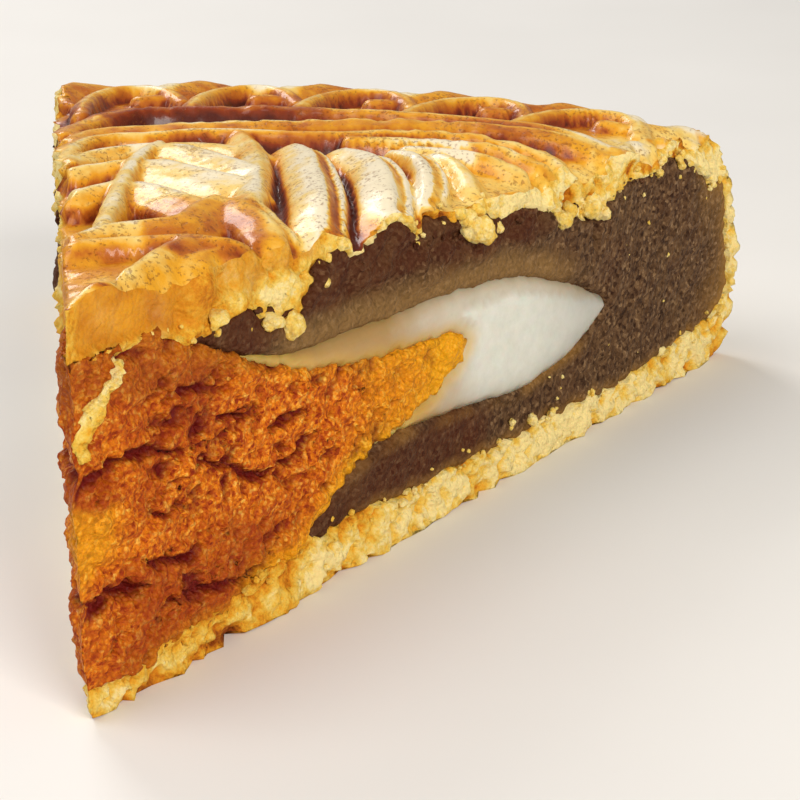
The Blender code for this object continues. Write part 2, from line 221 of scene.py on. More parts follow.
# ---------------------------------------------------------------- the mould's relief
# The mould is drawn in plan, u across from the left cut face and v along it, with the cake's centre
# at 0, 0. A ridge follows a curve: a rounded crest, then on each side a shoulder that reaches some
# way out while it sags, then a steep wall down to the floor.

def ridge(points, crest, drop=0, left=(0.3, 0.1), right=(0.3, 0.1), fade=(0, 0)):
    """A ridge: half its crest's width, how far it lies below the highest ones, the reach and sag of
    each shoulder, and how far its two ends sink."""
    return {"path": smooth_path(points, PATH_STEP), "crest": crest, "drop": drop,
            "left": left, "right": right, "fade": fade}


def polar(*points):
    """Points given as radius and degrees round from the left cut face, in the mould's plan."""
    return [(r * math.sin(math.radians(a)), r * math.cos(math.radians(a))) for r, a in points]


def lean(a):
    """How much further out the ring's inside lies at a degree. It is nearest beside the left cut."""
    return 0.16 * (a - 22)


def ring_path(*points):
    """A path in the ring, which leans with the ring's inside and is true at the rim."""
    return polar(*[(r + lean(a) * min(max((96 - r) / 20, 0), 1), a) for r, a in points])


def ring_ridges():
    """Overlapping arches, each a scallop at the rim round a loop with a bead, and the inner wall."""
    ridges = []
    for k in range(-1, math.ceil(SLICE_ANGLE / ARCH_PITCH) + 1):
        a = FIRST_ARCH + k * ARCH_PITCH
        scallop = ring_path((88.4, a - 3), (92.6, a - 1.4), (95.2, a + 0.8), (95.6, a + 3),
                            (93.4, a + 4.9), (89.8, a + 5.5))
        loop = ring_path((73.4, a - 0.1), (78, a), (83.2, a + 0.6), (86.6, a + 1.9), (87.8, a + 3.7),
                         (86.4, a + 5.5), (82.6, a + 7))
        bead = ring_path((84, a + 3.9), (84.3, a + 5))
        ridges += [ridge(scallop, 0.55, left=(0.5, 0.5), right=(3, 1.5), fade=(0.5, 0.4)),
                   ridge(loop, 0.5, 0.35, left=(0.7, 0.4), right=(0.35, 0.2), fade=(0.2, 0.7)),
                   ridge(bead, 0.7, 0.9, left=(0.5, 0.6), right=(0.5, 0.6))]
    inner = [(57, 0.8), (60.5, 2), (65, 3.9), (68.5, 6)]
    inner += [(RING_INSIDE + lean(a), a) for a in range(9, 52, 4)]
    return [*ridges, ridge(polar(*inner), 0.6, 0.15, left=(1.6, 0.7), right=(0.4, 0.3))]


def collar_ridges():
    """Lines that close round beside the left cut face and run together near the right one."""
    return [
        ridge([(1.4, 54), (3.4, 58), (8, 59.4), (16, 60), (24, 60.5), (32, 60.6), (38, 60), (43, 58.4),
               (48, 56), (52, 53.4)], 0.6, 0.35, right=(1.1, 0.4)),
        ridge([(1, 43), (1.4, 49), (2.8, 53), (5.5, 54.8), (9, 55), (13.5, 56), (18, 55.2),
               (23.5, 53.8), (29, 53.5), (33, 53.8), (37, 53.2), (41, 51), (44.5, 48.4),
               (46.8, 46)], 0.55, 0.2, left=(0.9, 0.3), right=(0.3, 0.2)),
        ridge([(27, 51.8), (31.6, 51.4), (35, 50.8), (38.5, 49.6), (41.5, 47.8), (44, 45.6)],
              0.45, 0.35, right=(0.4, 0.3)),
        ridge([(31.8, 48.6), (35.5, 47.6), (39, 46), (41.5, 44)], 0.4, 0.6, right=(0.8, 0.5)),
    ]


def leaf_ridges():
    """A striped leaf: its vein, short ribs on the left and broad slanting lobes on the right."""
    vein = ridge([(9.3, 50.8), (8, 47.7), (6.9, 43.6), (6, 38.5), (5.3, 33.5), (4.5, 27.6), (3.8, 22.4),
                  (3.4, 19)], 0.45, 0.2, left=(0.3, 0.3), right=(0.5, 0.4))
    ribs = [
        ridge([(1.4, 43.6), (2.6, 47.4), (4.5, 49.4), (6.6, 50.8), (9.3, 51.4)], 0.45, 0.5,
              right=(1, 0.5)),
        ridge([(1.3, 40.9), (3.5, 42.4), (6.2, 43.7)], 0.45, 0.5, right=(0.7, 0.5)),
        ridge([(1.3, 32), (3.3, 33.7), (5.2, 35.2)], 0.5, 0.5, right=(1.2, 1)),
    ]
    lobes = [
        ridge([(10.4, 52.6), (13.4, 52.4), (16, 50.6), (17.6, 47.6)], 0.8, 0.9, left=(1.2, 0.5),
              right=(1.2, 0.5)),
        ridge([(10, 49.6), (12.8, 46.6), (15.2, 42.2), (16.8, 38.4)], 0.7, 0.3, left=(0.3, 0.3),
              right=(2.2, 0.7)),
        ridge([(9.2, 42.8), (12.4, 38.6), (15.2, 35)], 0.7, 0.4, left=(0.3, 0.3), right=(4, 1)),
        ridge([(6.9, 34.4), (9.4, 31.2), (11.8, 26.6)], 0.6, 0.5, left=(0.3, 0.3), right=(2.7, 0.9)),
    ]
    edge = ridge([(17, 55), (17.6, 49.4), (17.5, 42.4), (16.8, 36), (16, 30), (15.3, 25.8)], 0.35, 0.25,
                 left=(0.8, 0.6), right=(1.3, 0.8))
    return [vein, *ribs, *lobes, edge]


# The blades' crests, each with how far it lies below the highest ridges and how broad its face is
BLADES = [
    ([(21.7, 50.2), (22.2, 46.6), (22.3, 42.6), (22, 38), (21.9, 33.6), (21.5, 27.8), (20.9, 23),
      (20.1, 18.4)], 0.1, 2.5),
    ([(25.9, 48), (27.3, 44.6), (28, 40.4), (28, 35), (27.5, 29.6), (26.6, 25)], 0.15, 2.5),
    ([(30.2, 47.6), (31.6, 44.4), (32, 40.6), (31.7, 36.8), (30.9, 32.4)], 0.3, 0.9),
    ([(33.4, 46.8), (34.9, 44), (35.7, 40.6), (35.9, 37)], 0.5, 0.9),
]


def crescent_ridges():
    """Curved blades side by side: a broad face up to a crest, and a short slope down to a thin lip."""
    lips = [
        [(22.8, 50.4), (23.6, 46.6), (23.9, 42), (23.8, 36.8), (23.5, 31.2), (22.9, 26.2), (22.1, 21)],
        [(27.3, 48), (29, 44.6), (29.7, 40.2), (29.6, 35), (29, 29.8), (28, 26.4)],
        [(31.7, 47.8), (33.2, 44.2), (33.5, 39.6), (32.9, 35.2)],
    ]
    faces = [ridge(points, 0.35, drop, left=(1, 0.9), right=(reach, 1.4), fade=(0.5, 0.9))
             for points, drop, reach in BLADES]
    edges = [ridge(points, 0.2, 0.75, left=(0.1, 0.1), right=(0.15, 0.2), fade=(0.2, 0.8))
             for points in lips]
    return faces + edges


def tip_ridges():
    """A folded plate, the vine band that crosses the slice, and the step beside the tip."""
    return [
        ridge([(14.2, 26.8), (15.6, 23.6), (16.7, 20.6), (17.4, 17.6)], 0.6, 0.3, left=(0.3, 0.3),
              right=(2.2, 0.8)),
        ridge([(14.9, 29.4), (16.3, 26.1), (17.2, 22.9), (18.2, 20.4)], 0.35, 0.7),
        ridge([(1, 16), (2.5, 17.9), (4.4, 19.3), (7.2, 20.2), (9.6, 21.6), (11, 24.6), (12.6, 27.6)],
              0.5, 0.2, left=(0.3, 0.3), right=(2.6, 1.4)),
        ridge([(1, 14.8), (3.6, 15.5), (9, 15.9), (12.4, 15), (14.6, 14.7)], 0.5, 0.35, left=(1, 0.6),
              right=(0.5, 0.4)),
        ridge([(1, 1.2), (2.4, 3.4), (4.4, 5), (5.7, 8), (7.6, 12), (9.6, 14.8)], 0.5, 0.25,
              left=(0.4, 0.4), right=(2.4, 2)),
        ridge([(9.4, 11.6), (11.4, 13.4), (13.6, 15)], 0.9, 0.9, left=(0.8, 0.4), right=(1.6, 0.8)),
    ]


def all_ridges():
    return ring_ridges() + collar_ridges() + leaf_ridges() + crescent_ridges() + tip_ridges()


def signed_distance(u, v, path):
    """Distance to the path, positive on its right, and the share of its length at the nearest point."""
    nearest = np.full(u.shape, np.inf)
    side = np.zeros(u.shape)
    share = np.zeros(u.shape)
    runs = np.diff(path, axis=0)
    lengths = np.linalg.norm(runs, axis=1)
    begins = np.concatenate([[0], np.cumsum(lengths)])
    for start, run, length, begin in zip(path[:-1], runs, lengths, begins):
        du = u - start[0]
        dv = v - start[1]
        t = np.clip((du * run[0] + dv * run[1]) / length**2, 0, 1)
        gap = (du - t * run[0]) ** 2 + (dv - t * run[1]) ** 2
        closer = gap < nearest
        nearest = np.where(closer, gap, nearest)
        side = np.where(closer, run[1] * du - run[0] * dv, side)
        share = np.where(closer, (begin + t * length) / begins[-1], share)
    return np.sqrt(nearest) * np.where(side >= 0, 1, -1), share


def ridge_height(u, v, item):
    """Height of one ridge below the ridge-top surface."""
    distance, share = signed_distance(u, v, item["path"])
    on_right = distance > 0
    reach = np.where(on_right, item["right"][0], item["left"][0])
    sag = np.where(on_right, item["right"][1], item["left"][1])
    beyond = np.abs(distance) - item["crest"]
    rounding = 0.12 * np.clip(np.abs(distance) / item["crest"], 0, 1) ** 2
    ends = (item["fade"][0] * np.clip(1 - share / 0.3, 0, 1) ** 2
            + item["fade"][1] * np.clip((share - 0.7) / 0.3, 0, 1) ** 2)
    shoulder = sag * np.clip(beyond / reach, 0, 1) ** 1.3
    wall = WALL_SLOPE * np.maximum(beyond - reach, 0)
    return -item["drop"] - rounding - ends - shoulder - wall


def beside(item, u, v, margin):
    """Which points lie in the box round a ridge's path, or no further than a margin from it."""
    low = item["path"].min(axis=0) - margin
    high = item["path"].max(axis=0) + margin
    return (u > low[0]) & (v > low[1]) & (u < high[0]) & (v < high[1])


def relief(u, v, ridges):
    """Height of the moulded top below the ridge-top surface."""
    r = np.hypot(u, v)
    floor = np.where(r < RING_INSIDE, -FIELD_DEPTH, -RING_DEPTH)
    floor = np.where(r < 18, -TIP_DEPTH, floor) + 0.3 * np.sin(0.21 * u + 0.6) * np.sin(0.17 * v)
    height = floor.copy()
    for item in ridges:
        near = beside(item, u, v, 6)
        other = ridge_height(u[near], v[near], item)
        mix = np.clip((BLEND + other - height[near]) / (2 * BLEND), 0, 1)
        height[near] = height[near] * (1 - mix) + other * mix + BLEND * mix * (1 - mix)
    return height


def crest_lines(u, v, ridges):
    """1 along the crest of every ridge that stands out, and 0 away from it."""
    height = np.full(u.shape, -FAR)
    line = np.zeros(u.shape)
    for item in ridges:
        near = beside(item, u, v, 4)
        other = ridge_height(u[near], v[near], item)
        distance, share = signed_distance(u[near], v[near], item["path"])
        crest = bell(distance, 0, 0.28) * ease(share / 0.1) * ease((1 - share) / 0.1)
        above = other > height[near]
        line[near] = np.where(above, crest, line[near])
        height[near] = np.where(above, other, height[near])
    return line


def rim_notches(reached, turn):
    """The notch at the shoulder between one arch and the next."""
    past = (np.degrees(turn) - FIRST_ARCH + 2.8 + 0.5 * ARCH_PITCH) % ARCH_PITCH - 0.5 * ARCH_PITCH
    band = ease((reached - SHOULDER + 2) / 4) * (1 - ease((reached - SHOULDER - 7) / 6))
    return -1.5 * bell(past, 0, 1.1) * band


def dome(r):
    """Height of the ridge tops at radius r."""
    return CENTRE_HEIGHT - (CENTRE_HEIGHT - RIM_HEIGHT) * (r / (0.96 * CAKE_RADIUS)) ** DOME_POWER


# ---------------------------------------------------------------- the cut faces' outlines
# Each is a path of (r, z) points in one of the two cut planes.

def outer_section():
    """The outside from the centre of the top down the wall and back under the base."""
    radii = np.arange(0, SHOULDER + 0.01, TOP_STEP)
    top = np.stack([radii, dome(radii)], axis=1)
    bend = [(SHOULDER - 3, dome(SHOULDER - 3)), (SHOULDER, dome(SHOULDER)), (93.2, 26.3), (95.8, 23.4),
            (97.5, 19.4), (99, 15)]
    wall = [(99, 15), (CAKE_RADIUS, 9.5), (CAKE_RADIUS - 0.2, 5), (99, 1.8), (97.6, 0)]
    shoulder = smooth_path(bend, TOP_STEP)
    shoulder = shoulder[shoulder[:, 0] > SHOULDER + 0.5 * TOP_STEP]
    under = np.arange(97.6 - BASE_STEP, 0.5 * BASE_STEP, -BASE_STEP)
    base = np.stack([under, np.zeros(len(under))], axis=1)
    return np.vstack([top, shoulder[:-1], smooth_path(wall, WALL_STEP), base])


# How many points the layers' outlines have, the same on both sides so that they can be joined
LINING_POINTS = 640
CORE_POINTS = 420
YOLK_POINTS = 230

PASTRY_INSIDE = {
    RIGHT: [(0, 28.3), (4, 28.5), (9, 28.3), (13, 27), (17, 27.4), (20.5, 27), (23, 25.4), (26, 24.8),
            (27.6, 26.6), (29, 28.6), (33, 28.2), (37, 28.4), (41, 27.6), (45, 28.1), (49, 27.4),
            (53, 26.6), (56, 25.7), (60, 25.2), (63, 24), (67, 22.8), (71, 22), (74, 22.8), (79, 24),
            (85, 24.4), (89, 23.4), (92.4, 20.4), (94.8, 16.8), (96.9, 13), (98, 9.5), (97.7, 6.6),
            (95.5, 4.9), (90, 4.4), (82, 3.9), (75, 3.2), (66, 3.7), (55, 3.8), (45, 4), (38, 4.5),
            (32, 5.1), (26, 4.8), (20, 4.2), (12, 3.2), (5, 2.6), (0, 2.8)],
    LEFT: [(0, 28.3), (4, 28.4), (10, 27.8), (16, 27), (21, 26.6), (25, 27.2), (30, 27.4), (36, 27.3),
           (42, 27), (48, 26.4), (54, 25.6), (60, 24.6), (66, 23.4), (72, 22.8), (78, 23.1), (84, 23.6),
           (89, 23), (92.4, 20.4), (95, 16.6), (96.9, 12.8), (97.9, 9), (97.4, 6.2), (94.5, 4.5),
           (88, 3.9), (80, 3.4), (70, 3.3), (60, 3.6), (50, 3.5), (40, 3.9), (31, 4.2), (22, 3.6),
           (14, 3.1), (6, 2.6), (0, 2.8)],
}

CORE = {
    RIGHT: [(10.4, 27.8), (14, 26.2), (19, 24), (24, 22.4), (30, 21.6), (40, 21.2), (50, 20.7),
            (56, 19.9), (61, 18.7), (66, 16.9), (70.5, 14.9), (73.8, 12.7), (71.6, 11), (66.5, 9.2),
            (59, 8.4), (52, 9.2), (46, 9.9), (40, 10.3), (35, 9.7), (31, 8.3), (28.2, 6.2),
            (26.6, 4.9)],
    LEFT: [(11.4, 27.6), (15, 26), (20, 24.2), (25, 22.7), (31, 22), (40, 21.8), (50, 21.3), (57, 20.3),
           (63, 18.7), (68, 16.7), (72, 14.9), (75.2, 12.9), (73, 11.2), (68, 9.6), (60, 8.7),
           (52, 8.9), (46, 9.5), (41, 9.9), (36, 9.4), (32, 8), (29, 6), (27.4, 3.9)],
}

YOLK_FACE = {
    RIGHT: [(19, 23.7), (24, 21.4), (30, 19.7), (36, 18.4), (42, 17.6), (46.6, 17.4), (49.6, 16.6),
            (49.9, 15.2), (47.4, 13.8), (44, 12.3), (40, 11), (36.6, 10)],
    LEFT: [(20, 23.9), (25, 21.7), (31, 20), (37, 18.9), (43, 18), (49, 17.2), (52.4, 15.9),
           (52.6, 14.8), (49.4, 13.4), (45, 12.2), (41, 11), (37.6, 9.9)],
}


def ragged(path, coarse, fine, seed):
    """The path broken up by lumps and crumbs, and left in place at its two ends."""
    along = np.linspace(0, 1, len(path))
    hold = ease(along * len(path) / 12) * ease((1 - along) * len(path) / 12)
    return offset(path, hold * (coarse * rough(path, 3.2, seed) + fine * rough(path, 1.1, seed + 3)))


def top_edge(side, r):
    """Height of the moulded top along one of the cuts."""
    turn = SLICE_TURN if side == RIGHT else 0
    pressed = PRESSED * rise(r, 18, 10) * (side == RIGHT)
    return dome(r) + relief(r * math.sin(turn), r * math.cos(turn), all_ridges()) - pressed


def pastry_inside(side):
    """The hollow the fillings lie in. Its roof is very thin over part of the right cut."""
    path = ragged(even_path(PASTRY_INSIDE[side], LINING_POINTS), 0.35, 0.32, 20 + side)
    if side == RIGHT:
        r = path[:, 0]
        thin = top_edge(side, r) - 0.9 - 5 * (1 - window(r, 31, 62, 3)) + 0.3 * rough(path, 2, 19)
        path[:, 1] = np.where(path[:, 1] > 14, np.maximum(path[:, 1], thin), path[:, 1])
    return path


def core(side):
    """The outside of the rice layer, and of the yolk where it is bare."""
    return ragged(even_path(CORE[side], CORE_POINTS), 0.12, 0.08, 40 + side)


def yolk_face(side):
    """The yolk's outer end, which the rice layer wraps."""
    return ragged(even_path(YOLK_FACE[side], YOLK_POINTS), 0.2, 0.2, 60 + side)


def between(path, start, end, count):
    """The part of a path from one of its points to another, as this many points."""
    return points_at(np.linspace(start, end, count), np.arange(len(path)), path)


def nearest_index(path, point):
    return int(np.argmin(np.linalg.norm(path - point, axis=1)))


def paste_outline(side):
    """The bean paste, tucked a little under the pastry, the rice layer and the yolk."""
    lining = offset(pastry_inside(side), -TUCK)
    inner = offset(core(side), TUCK)
    start = nearest_index(lining[:len(lining) // 2], inner[0])
    end = len(lining) // 2 + nearest_index(lining[len(lining) // 2:], inner[-1])
    return np.vstack([between(lining, start, end, 560),
                      between(inner, len(inner) - 3, 2, CORE_POINTS)])


def rice_outline(side):
    """The rice layer, from the top of the yolk round its outer end."""
    outside = core(side)
    inside = offset(yolk_face(side), TUCK)
    start = nearest_index(outside, inside[0])
    end = nearest_index(outside, inside[-1])
    return np.vstack([between(outside, start + 2, end - 2, 380),
                      between(inside, len(inside) - 1, 0, YOLK_POINTS)])


def yolk_outline(side):
    """The yolk, from the tip's edge outwards."""
    lining = offset(pastry_inside(side), -TUCK)
    outside = core(side)
    face = yolk_face(side)
    half = len(lining) // 2
    meets_top = nearest_index(lining[:half], outside[0])
    meets_foot = half + nearest_index(lining[half:], outside[-1])
    leaves = nearest_index(outside, face[0])
    returns = nearest_index(outside, face[-1])
    lid = between(lining, 0, meets_top - 2, 60)
    floor = between(lining, meets_foot + 2, len(lining) - 1, 90)
    lid[0, 0] = floor[-1, 0] = 0
    tip = np.stack([np.zeros(60), np.linspace(floor[-1, 1], lid[0, 1], 62)[1:-1]], axis=1)
    return np.vstack([lid, between(outside, 1, leaves - 2, 60), face,
                      between(outside, returns + 2, len(outside) - 2, 60), floor, tip])


# ---------------------------------------------------------------- how deep each cut face lies
# Depths are measured inwards from the plane of the cut, at (r, z) points.

def near_tip(p):
    """0 at the slice's front edge, where its two cut faces meet, and 1 further back."""
    return ease(p[:, 0] / 2.5)


def smeared(p):
    """Where the knife has dragged the crust smooth, beside the tip above the yolk."""
    r, z = wander(p, 3, 0.8, 35).T
    at_tip = fall(r, 14, 3) * ease(z - 28)
    return at_tip + 0.7 * window(r, 17, 27, 3) * ease(z - 28.6)


def spot(p, r, z, wide, tall):
    """1 at one point of a cut face, and near 0 further off."""
    return np.exp(-((p[:, 0] - r) / wide) ** 2 - ((p[:, 1] - z) / tall) ** 2)


def knobs(p, side):
    """Two smooth knobs of crust over the yolk, where the right cut has pressed it."""
    return (spot(p, 14.6, 30.4, 1.9, 1.9) + spot(p, 18.2, 28.4, 1.8, 1.5)) * (side == RIGHT)


def pastry_cut(p, side):
    p = wander(p, 1.8, 0.35, 12)
    coarse = 0.5 + 0.5 * ease(p[:, 1] / 3 - 2)
    lumps = coarse * (0.16 * crumbs(p, 3.6, 3 + side) + 0.14 * crumbs(p, 1.5, 9 + side))
    lumps += 0.2 * crumbs(p, 0.85, 13)
    lumps += 0.3 * coarse * rough(p, 2.2, 17, 4) + 0.24 * (1 - 2.6 * np.abs(rough(p, 1.5, 19, 2)))
    lumps -= 0.5 * ease((rough(p, 2.4, 18) - 0.45) / 0.25)
    torn = 0.45 * coarse * rough(p, 4.5, 15 + side)
    depth = 0.45 + (torn - lumps) * (1 - 0.75 * smeared(p)) + 1.2 * split(p) * (side == RIGHT)
    depth += 0.7 * spot(p, 12.6, 28.9, 0.7, 1.5) * (side == RIGHT) - 0.9 * knobs(p, side)
    return depth * near_tip(p)


def paste_cut(p, side, edge):
    grain = 0.14 * crumbs(p, 1.3, 23 + side) + 0.12 * rough(p, 1.1, 25 + side)
    crumbly = window(p[:, 1], 23.5, 34, 1.5) * window(p[:, 0], 26, 62, 4)
    grain += 0.3 * crumbly * (crumbs(p, 2.2, 28) + rough(p, 2, 29))
    tucked = 0.7 * ease(1 - edge / (2.4 * TUCK))
    depth = 0.3 - grain + 0.25 * rough(p, 9, 27) + tucked + 1.2 * split(p) * (side == RIGHT)
    return depth * near_tip(p)


def folded(p, edge):
    """The skin of dough that lies over the top of the rice layer towards its outer end."""
    r, z = p.T
    upper = ease((z - 13.2 - 0.13 * (73 - r)) / 1.2) * rise(r, 38, 8)
    return upper * ease((1.9 - edge - 0.5 * noise(p, 5, 34)) / 0.35)


def rice_cut(p, side, edge):
    swell = -0.35 * ease(edge / 2.5) + 0.45 * ease(1 - edge / 0.7) + 0.22 * folded(p, edge)
    return 0.15 + swell + 0.12 * rough(p, 7, 31 + side, 2) + 0.02 * rough(p, 0.9, 33)


def split(p):
    """A short upright crack through the crust into the paste."""
    r, z = wander(p, 1.5, 0.25, 99).T
    return bell(r, 71, 0.3) * window(z, 19.5, 25, 1)


# The yolk's cracks on the right cut, each a path of (r, z) points and half its width
CRACKS = [
    ([(-3, 18.4), (0.3, 19.2), (2.5, 19.6), (5, 19.8), (7, 19.4), (9.3, 19.1), (11.2, 18.7),
      (13.8, 18)], 0.85),
    ([(14.2, 16.6), (16.3, 15.6), (18.3, 14.3), (20.5, 13.1), (22.8, 13.2), (25.6, 13.5),
      (29.2, 14.4)], 0.6),
    ([(7.6, 10.3), (9.9, 9.8), (11.5, 9.3), (14, 9.4)], 0.5),
    ([(-2, 10.1), (0.5, 9.6), (1.8, 9.3), (3.5, 9.6), (5.3, 9.3), (8, 9)], 0.65),
    ([(7, 5.8), (12, 6.2), (18, 5.2), (23, 6)], 0.35),
    ([(12, 23.3), (14.5, 22.8), (17, 22.4)], 0.3),
    ([(15.8, 19.6), (18.5, 19.1), (21.2, 18.8)], 0.45),
    ([(22, 17.4), (24.6, 16.8), (27.5, 17.2)], 0.3),
    ([(7, 14.4), (10, 13.6), (13, 13.8)], 0.25),
]


def crack_depth(p, side):
    """Long level cracks in the yolk, deeper and wider here and there."""
    total = 0
    p = wander(wander(p, 5, 0.5, 41 + side), 1.3, 0.35, 43 + side)
    shift = np.array([1.5, 0.4]) * (side == LEFT)
    for k, (crack, width) in enumerate(CRACKS):
        distance, share = signed_distance(*p.T, smooth_path(crack + shift, 0.8))
        wide = width * (0.9 + 0.4 * noise(p, 3.3, 45 + k))
        wide = wide * ease(share / 0.1) * ease((1 - share) / 0.2)
        total = total + np.clip(1.1 - np.abs(distance) / np.maximum(wide, 0.05), 0, 1)
    return np.clip(total, 0, 1)


def yolk_cut(p, side, edge):
    grain = 0.22 * crumbs(p, 1.9, 51 + side) + 0.2 * crumbs(p, 0.9, 53 + side)
    grain = grain + 0.3 * rough(p, 3, 55 + side) + 0.22 * rough(p, 0.9, 58 + side, 2)
    level = wander(p, 3, 0.7, 59) * np.array([0.5, 1])
    pores = ease((rough(level, 1.2, 57 + side) - 0.35) / 0.3) * window(p[:, 0], 0, 36, 6)
    rounded = 0.3 * ease(1 - edge / 0.6)
    lumps = 0.5 * window(p[:, 0], 0, 7, 3) * crumbs(p, 4.5, 61)
    return (0.3 - grain - lumps + 0.9 * crack_depth(p, side) + 0.5 * pores + rounded) * near_tip(p)


# ---------------------------------------------------------------- meshes

def place(p, depth, side):
    """Points of a cut face in the slice's frame, from (r, z) and depth."""
    across, along = math.sin(HALF_TURN), math.cos(HALF_TURN)
    x = side * (p[:, 0] * across - depth * along)
    y = p[:, 0] * along + depth * across - CAKE_RADIUS / 2
    return np.stack([x, y, p[:, 1]], axis=1)


# Where the front edge has lost most: the height, half how tall the chip is, and how deep
CHIPS = [(20, 0.9, 1.3), (9.4, 0.6, 0.9), (25, 2.2, 0.9), (0, 1.6, 1.2)]


def wear(points):
    """Points drawn back where the slice's front edge has crumbled."""
    x, y, z = points.T
    reach = bell(np.hypot(x, y + CAKE_RADIUS / 2), 0, 3.2)
    lost = 0.55 + 0.5 * rough(z[:, None] * [1, 0], 2.6, 95)
    for middle, tall, deep in CHIPS:
        lost += deep * bell(z, middle, tall)
    moved = points.copy()
    moved[:, 1] += np.maximum(lost, 0.05) * reach
    return moved


def behind_cuts(left, right):
    """Rings of points through the slice between the outlines on its two cut faces."""
    rings = []
    for share, side in ((0, LEFT), (1 / 3, 0), (2 / 3, 0), (1, RIGHT)):
        mixed = left + (right - left) * share
        r, z = mixed.T
        bearing = HALF_TURN * (2 * share - 1) * np.ones(len(r))
        bearing -= side * np.minimum(np.arcsin(BEHIND / np.maximum(r, BEHIND)), 0.6 * HALF_TURN)
        z = z - ROOF_DROP * rise(z, 21, 4)
        rings.append(np.stack([r * np.sin(bearing), r * np.cos(bearing) - CAKE_RADIUS / 2, z], axis=1))
    return rings


def loop_distance(points, loop):
    """How far each point is from a densely drawn loop."""
    tree = kdtree.KDTree(len(loop))
    for k, (r, z) in enumerate(loop):
        tree.insert((r, z, 0), k)
    tree.balance()
    return np.array([tree.find((r, z, 0))[2] for r, z in points])


def inside_loop(points, loop):
    """Which of the points lie within a closed outline."""
    within = np.zeros(len(points), bool)
    x, y = points.T
    for (ax, ay), (bx, by) in zip(loop, np.roll(loop, -1, axis=0)):
        if ay != by:
            within ^= ((ay > y) != (by > y)) & (x < ax + (bx - ax) * (y - ay) / (by - ay))
    return within


# A cut face's inner points, in steps: how far apart their rows are, how far chance shifts them, and
# how far they keep from the outline
ROW_STEP = 0.866
SHIFTED = 0.22
KEPT_OFF = 0.62


def fill(loop, step, seed):
    """Triangles that fill a closed outline. The outline's own points come first."""
    low = loop.min(axis=0)
    high = loop.max(axis=0)
    rows = np.arange(low[1], high[1], step * ROW_STEP)
    grid = np.array([(r + (0.5 * step if k % 2 else 0), z) for k, z in enumerate(rows)
                     for r in np.arange(low[0], high[0], step)])
    grid += SHIFTED * step * np.random.default_rng(seed).uniform(-1, 1, grid.shape)
    grid = grid[inside_loop(grid, loop)]
    grid = grid[loop_distance(grid, loop) > KEPT_OFF * step]
    flat = np.vstack([loop, grid])
    _, _, faces, sources, _, _ = geometry.delaunay_2d_cdt(
        [Vector(q) for q in flat], [], [list(range(len(loop)))], 1, 1e-5, True)
    order = np.array([source[0] if source else -1 for source in sources])
    triangles = order[np.array([face for face in faces if len(face) == 3])]
    triangles = triangles[triangles.min(axis=1) >= 0]
    only_loop = triangles.max(axis=1) < len(loop)
    keep = ~only_loop
    keep[only_loop] = inside_loop(flat[triangles[only_loop]].mean(axis=1), loop)
    return flat, triangles[keep]


def linked(name, data):
    """An object in the scene."""
    piece = bpy.data.objects.new(name, data)
    bpy.context.scene.collection.objects.link(piece)
    return piece


class Build:
    """A mesh in the making: points in millimetres, faces, and values at the points."""

    def __init__(self):
        self.points = []
        self.values = {}
        self.faces = []
        self.indices = []
        self.count = 0

    def add(self, points, values=None):
        """Adds points and gives their numbers. A value that isn't given is 0."""
        values = values or {}
        if not self.points:
            self.values = {key: [] for key in values}
        for key, parts in self.values.items():
            parts.append(np.array(np.broadcast_to(values.get(key, 0), len(points)), float))
        self.points.append(points)
        self.count += len(points)
        return np.arange(self.count - len(points), self.count)

    def add_faces(self, faces, index=0):
        """Adds faces with their material's index, leaving out doubled corners."""
        for face, which in zip(np.array(faces).tolist(), np.broadcast_to(index, len(faces)).tolist()):
            corners = list(dict.fromkeys(face))
            if len(corners) > 2:
                self.faces.append(corners)
                self.indices.append(which)

    def join(self, rows, closed, index=0):
        """Adds four-sided faces from each row of points to the next one."""
        for one, two in zip(rows[:-1], rows[1:]):
            faces = np.stack([one, two, np.roll(two, -1), np.roll(one, -1)], axis=1)
            self.add_faces(faces if closed else faces[:-1], index)

    def finish(self, name, materials, mend=True):
        """The mesh object, shaded smooth."""
        mesh = bpy.data.meshes.new(name)
        mesh.from_pydata((wear(np.vstack(self.points)) * MM).tolist(), [], self.faces)
        for material in materials:
            mesh.materials.append(material)
        mesh.polygons.foreach_set("material_index", np.array(self.indices, np.int32))
        for key, parts in self.values.items():
            data = mesh.attributes.new(key, "FLOAT", "POINT").data
            data.foreach_set("value", np.concatenate(parts).astype(np.float32))
        mesh.polygons.foreach_set("use_smooth", np.ones(len(mesh.polygons), bool))
        mesh.validate()
        if mend:
            close(mesh)
        return linked(name, mesh)


def close(mesh):
    """Drops unused points, fills what is open and turns all faces outwards."""
    edited = bmesh.new()
    edited.from_mesh(mesh)
    bmesh.ops.delete(edited, geom=[v for v in edited.verts if not v.link_faces], context="VERTS")
    bmesh.ops.holes_fill(edited, edges=[edge for edge in edited.edges if edge.is_boundary], sides=0)
    bmesh.ops.recalc_face_normals(edited, faces=edited.faces)
    edited.to_mesh(mesh)
    edited.free()


